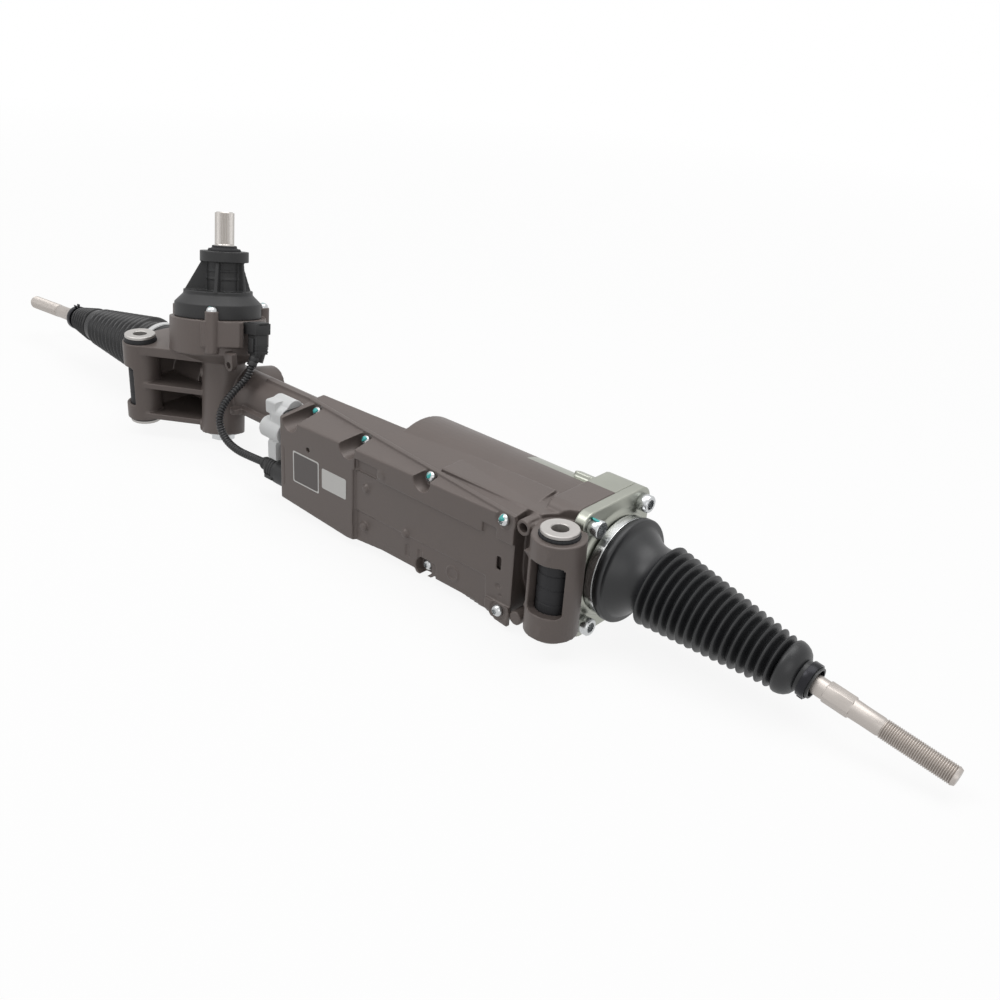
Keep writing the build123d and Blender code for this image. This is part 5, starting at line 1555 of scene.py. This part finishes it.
@dataclass
class BootClamp:
    """Band round the mouth of one bellows, with the overlap of its second turn and maybe an ear."""

    end: str
    x: float
    radius: float
    turn: float
    overlap: float
    eared: bool
    width: float = 7.0
    thickness: float = 0.75
    lift: tuple[float, float] = (1.2, 0.6)
    ear_lift: float = 2.6

    def _second_turn(self, at: Place) -> Workpiece:
        """Lay the second turn of the band, which ends beside the ear.

        Args:
            at: Frame of the band.

        Returns:
            The second turn.
        """
        start, sweep, steps = math.radians(self.turn + 12), math.radians(self.overlap), 40
        high, low = self.lift
        outline = [
            polar(self.radius + lift, start + sweep * k / steps)
            for lift, order in ((high, range(steps + 1)), (low, range(steps, -1, -1))) for k in order
        ]
        return Workpiece.prism("overlap", at.moved(0.5), outline, self.width - 1.0)

    def _ear(self, at: Place) -> Workpiece:
        """Pinch the ear that draws the band tight.

        Args:
            at: Frame of the band.

        Returns:
            The ear.
        """
        t, r = math.radians(self.turn), self.radius + self.ear_lift
        point = at.origin + ACROSS * r * math.cos(t) + UP * r * math.sin(t)
        spot = Place(point, ACROSS * math.cos(t) + UP * math.sin(t), AHEAD).moved(1.0)
        return Workpiece.prism("ear", spot, rounded_box(4.4, 7.6, 1.6), self.width - 2.0).bevel(0.4)

    def build(self) -> None:
        """Roll the band."""
        at = Place(Vector((self.x, RACK_Y, RACK_Z)), ACROSS, AHEAD)
        inner, outer = self.radius, self.radius + self.thickness
        section = [(inner, 0.0), (outer, 0.0), (outer, self.width), (inner, self.width)]
        band = Workpiece.lathe(f"{self.end}_boot_clamp_band", at, section, 120).bevel(0.2)
        band.fuse(self._second_turn(at))
        if self.eared:
            band.fuse(self._ear(at))
        band.dress(ROLLED_BAND, 40.0).mount("housing", "steel", f"{self.end}_boot_clamp")


@dataclass
class InnerDrive:
    """Pieces that keep their CAD shape, nearly all inside, with the finishes of the real ones."""

    finishes: tuple[tuple[Finish, tuple[str, ...]], ...] = (
        (BEARING_STEEL, (
            "pinion", "torsion_bar", "rack_bar", "ball_nut", "pinion_upper_bearing", "pinion_lower_bearing",
            "nut_bearing", "rotor_bearing",
        )),
        (TURNED_STEEL, ("near_ball_socket", "far_ball_socket", "yoke_spring")),
        (ACETAL, ("near_ball_seat", "far_ball_seat")),
        (LINER, ("rack_bush",)),
        (BARE_CASTING, ("yoke", "yoke_adjuster")),
        (LAMINATION, ("motor_stator", "motor_rotor")),
        (COPPER, ("motor_windings",)),
        (FERRITE, ("sensor_magnet",)),
        (BOARD, ("circuit_board",)),
        (NYLON, ("torque_sensor", "rotor_sensor", "power_connector", "signal_socket")),
        (ZINC_PLATE, ("pinion_plug",)),
    )

    def dress(self) -> None:
        """Give each node its finish."""
        for finish, nodes in self.finishes:
            for node in nodes:
                dress_node(node, finish)


def near_bellows() -> Bellows:
    """Size the bellows at the motor's end.

    Returns:
        The bellows, with sixteen folds that taper to the rod.
    """
    return Bellows(
        end="near", side=1, origin=Vector((300.0, RACK_Y, RACK_Z)), droop=7.93,
        mouth=(
            (265.2, 37.4), (265.6, 38.0), (274.3, 38.0), (274.6, 39.6), (275.6, 40.4), (279.2, 40.4),
            (280.2, 39.9), (280.5, 38.9), (280.6, 36.2), (281.6, 35.0), (284.0, 33.5),
        ),
        cone=((284.0, 33.5), (300.0, 26.5)),
        crests=(((6.0, 31.8), (105.7, 20.0), 16),),
        lands=((
            (110.0, 18.6), (111.2, 19.6), (113.0, 19.9), (116.0, 19.3), (119.0, 17.9), (121.4, 15.8),
            (122.8, 13.4), (123.4, 11.8), (124.6, 11.5), (134.0, 11.5),
        ),),
        cuts=(75.0, 98.0), tip=119.0,
    )


def far_bellows() -> Bellows:
    """Size the bellows at the pinion's end.

    Returns:
        The bellows, with eleven folds, a land, and six smaller folds.
    """
    return Bellows(
        end="far", side=-1, origin=Vector((-316.0, RACK_Y, RACK_Z)), droop=2.68,
        mouth=((-297.2, 28.3), (-297.8, 28.8), (-303.0, 28.8), (-311.0, 28.75), (-315.0, 28.6)),
        cone=((-315.0, 28.6), (-316.0, 28.6)),
        crests=(((14.0, 31.0), (101.0, 20.5), 11), ((117.5, 18.2), (146.0, 13.2), 6)),
        lands=(((106.3, 16.6), (106.6, 17.2), (113.4, 17.2)), ((150.0, 11.1), (158.0, 11.0))),
        cuts=(88.0, 112.0), tip=146.0, finish=BELLOWS_ELASTOMER,
    )


def main() -> None:
    """Build the classes in order, and report each piece."""
    logging.basicConfig(level=logging.INFO, format="%(name)s %(message)s")
    # The lacquer drops dry alike in each run
    noise.seed_set(NOISE_SEED)
    cad_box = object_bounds()
    studio = Studio()
    studio.camera()
    lead_plug = Tower().build()
    SensorLead().build(lead_plug)
    for bellows in (near_bellows(), far_bellows()):
        bellows.build()
    for rod in (
        TieRod("near", 1, ball_x=321.0, droop=9.53, clamp_at=105.3, clamp_r=11.8),
        TieRod("far", -1, ball_x=-346.5, droop=3.34, clamp_at=120.5, clamp_r=11.3),
    ):
        rod.rod()
        rod.clamp()
    ControlUnit().build()
    for bush in (Bush("near", x=254.5, lug_top=81.5), Bush("far", x=-254.5, lug_top=80.0)):
        bush.build()
    Housing().build()
    EndCover().build()
    for clamp in (
        BootClamp("near", x=266.0, radius=38.05, turn=35.0, overlap=150.0, eared=True),
        BootClamp("far", x=-311.0, radius=28.85, turn=60.0, overlap=100.0, eared=False),
    ):
        clamp.build()
    InnerDrive().dress()
    low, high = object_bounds()
    studio.floor(min(low.z, cad_box[0].z) - 0.0005)
    studio.lamps()


if __name__ == "__main__":
    main()
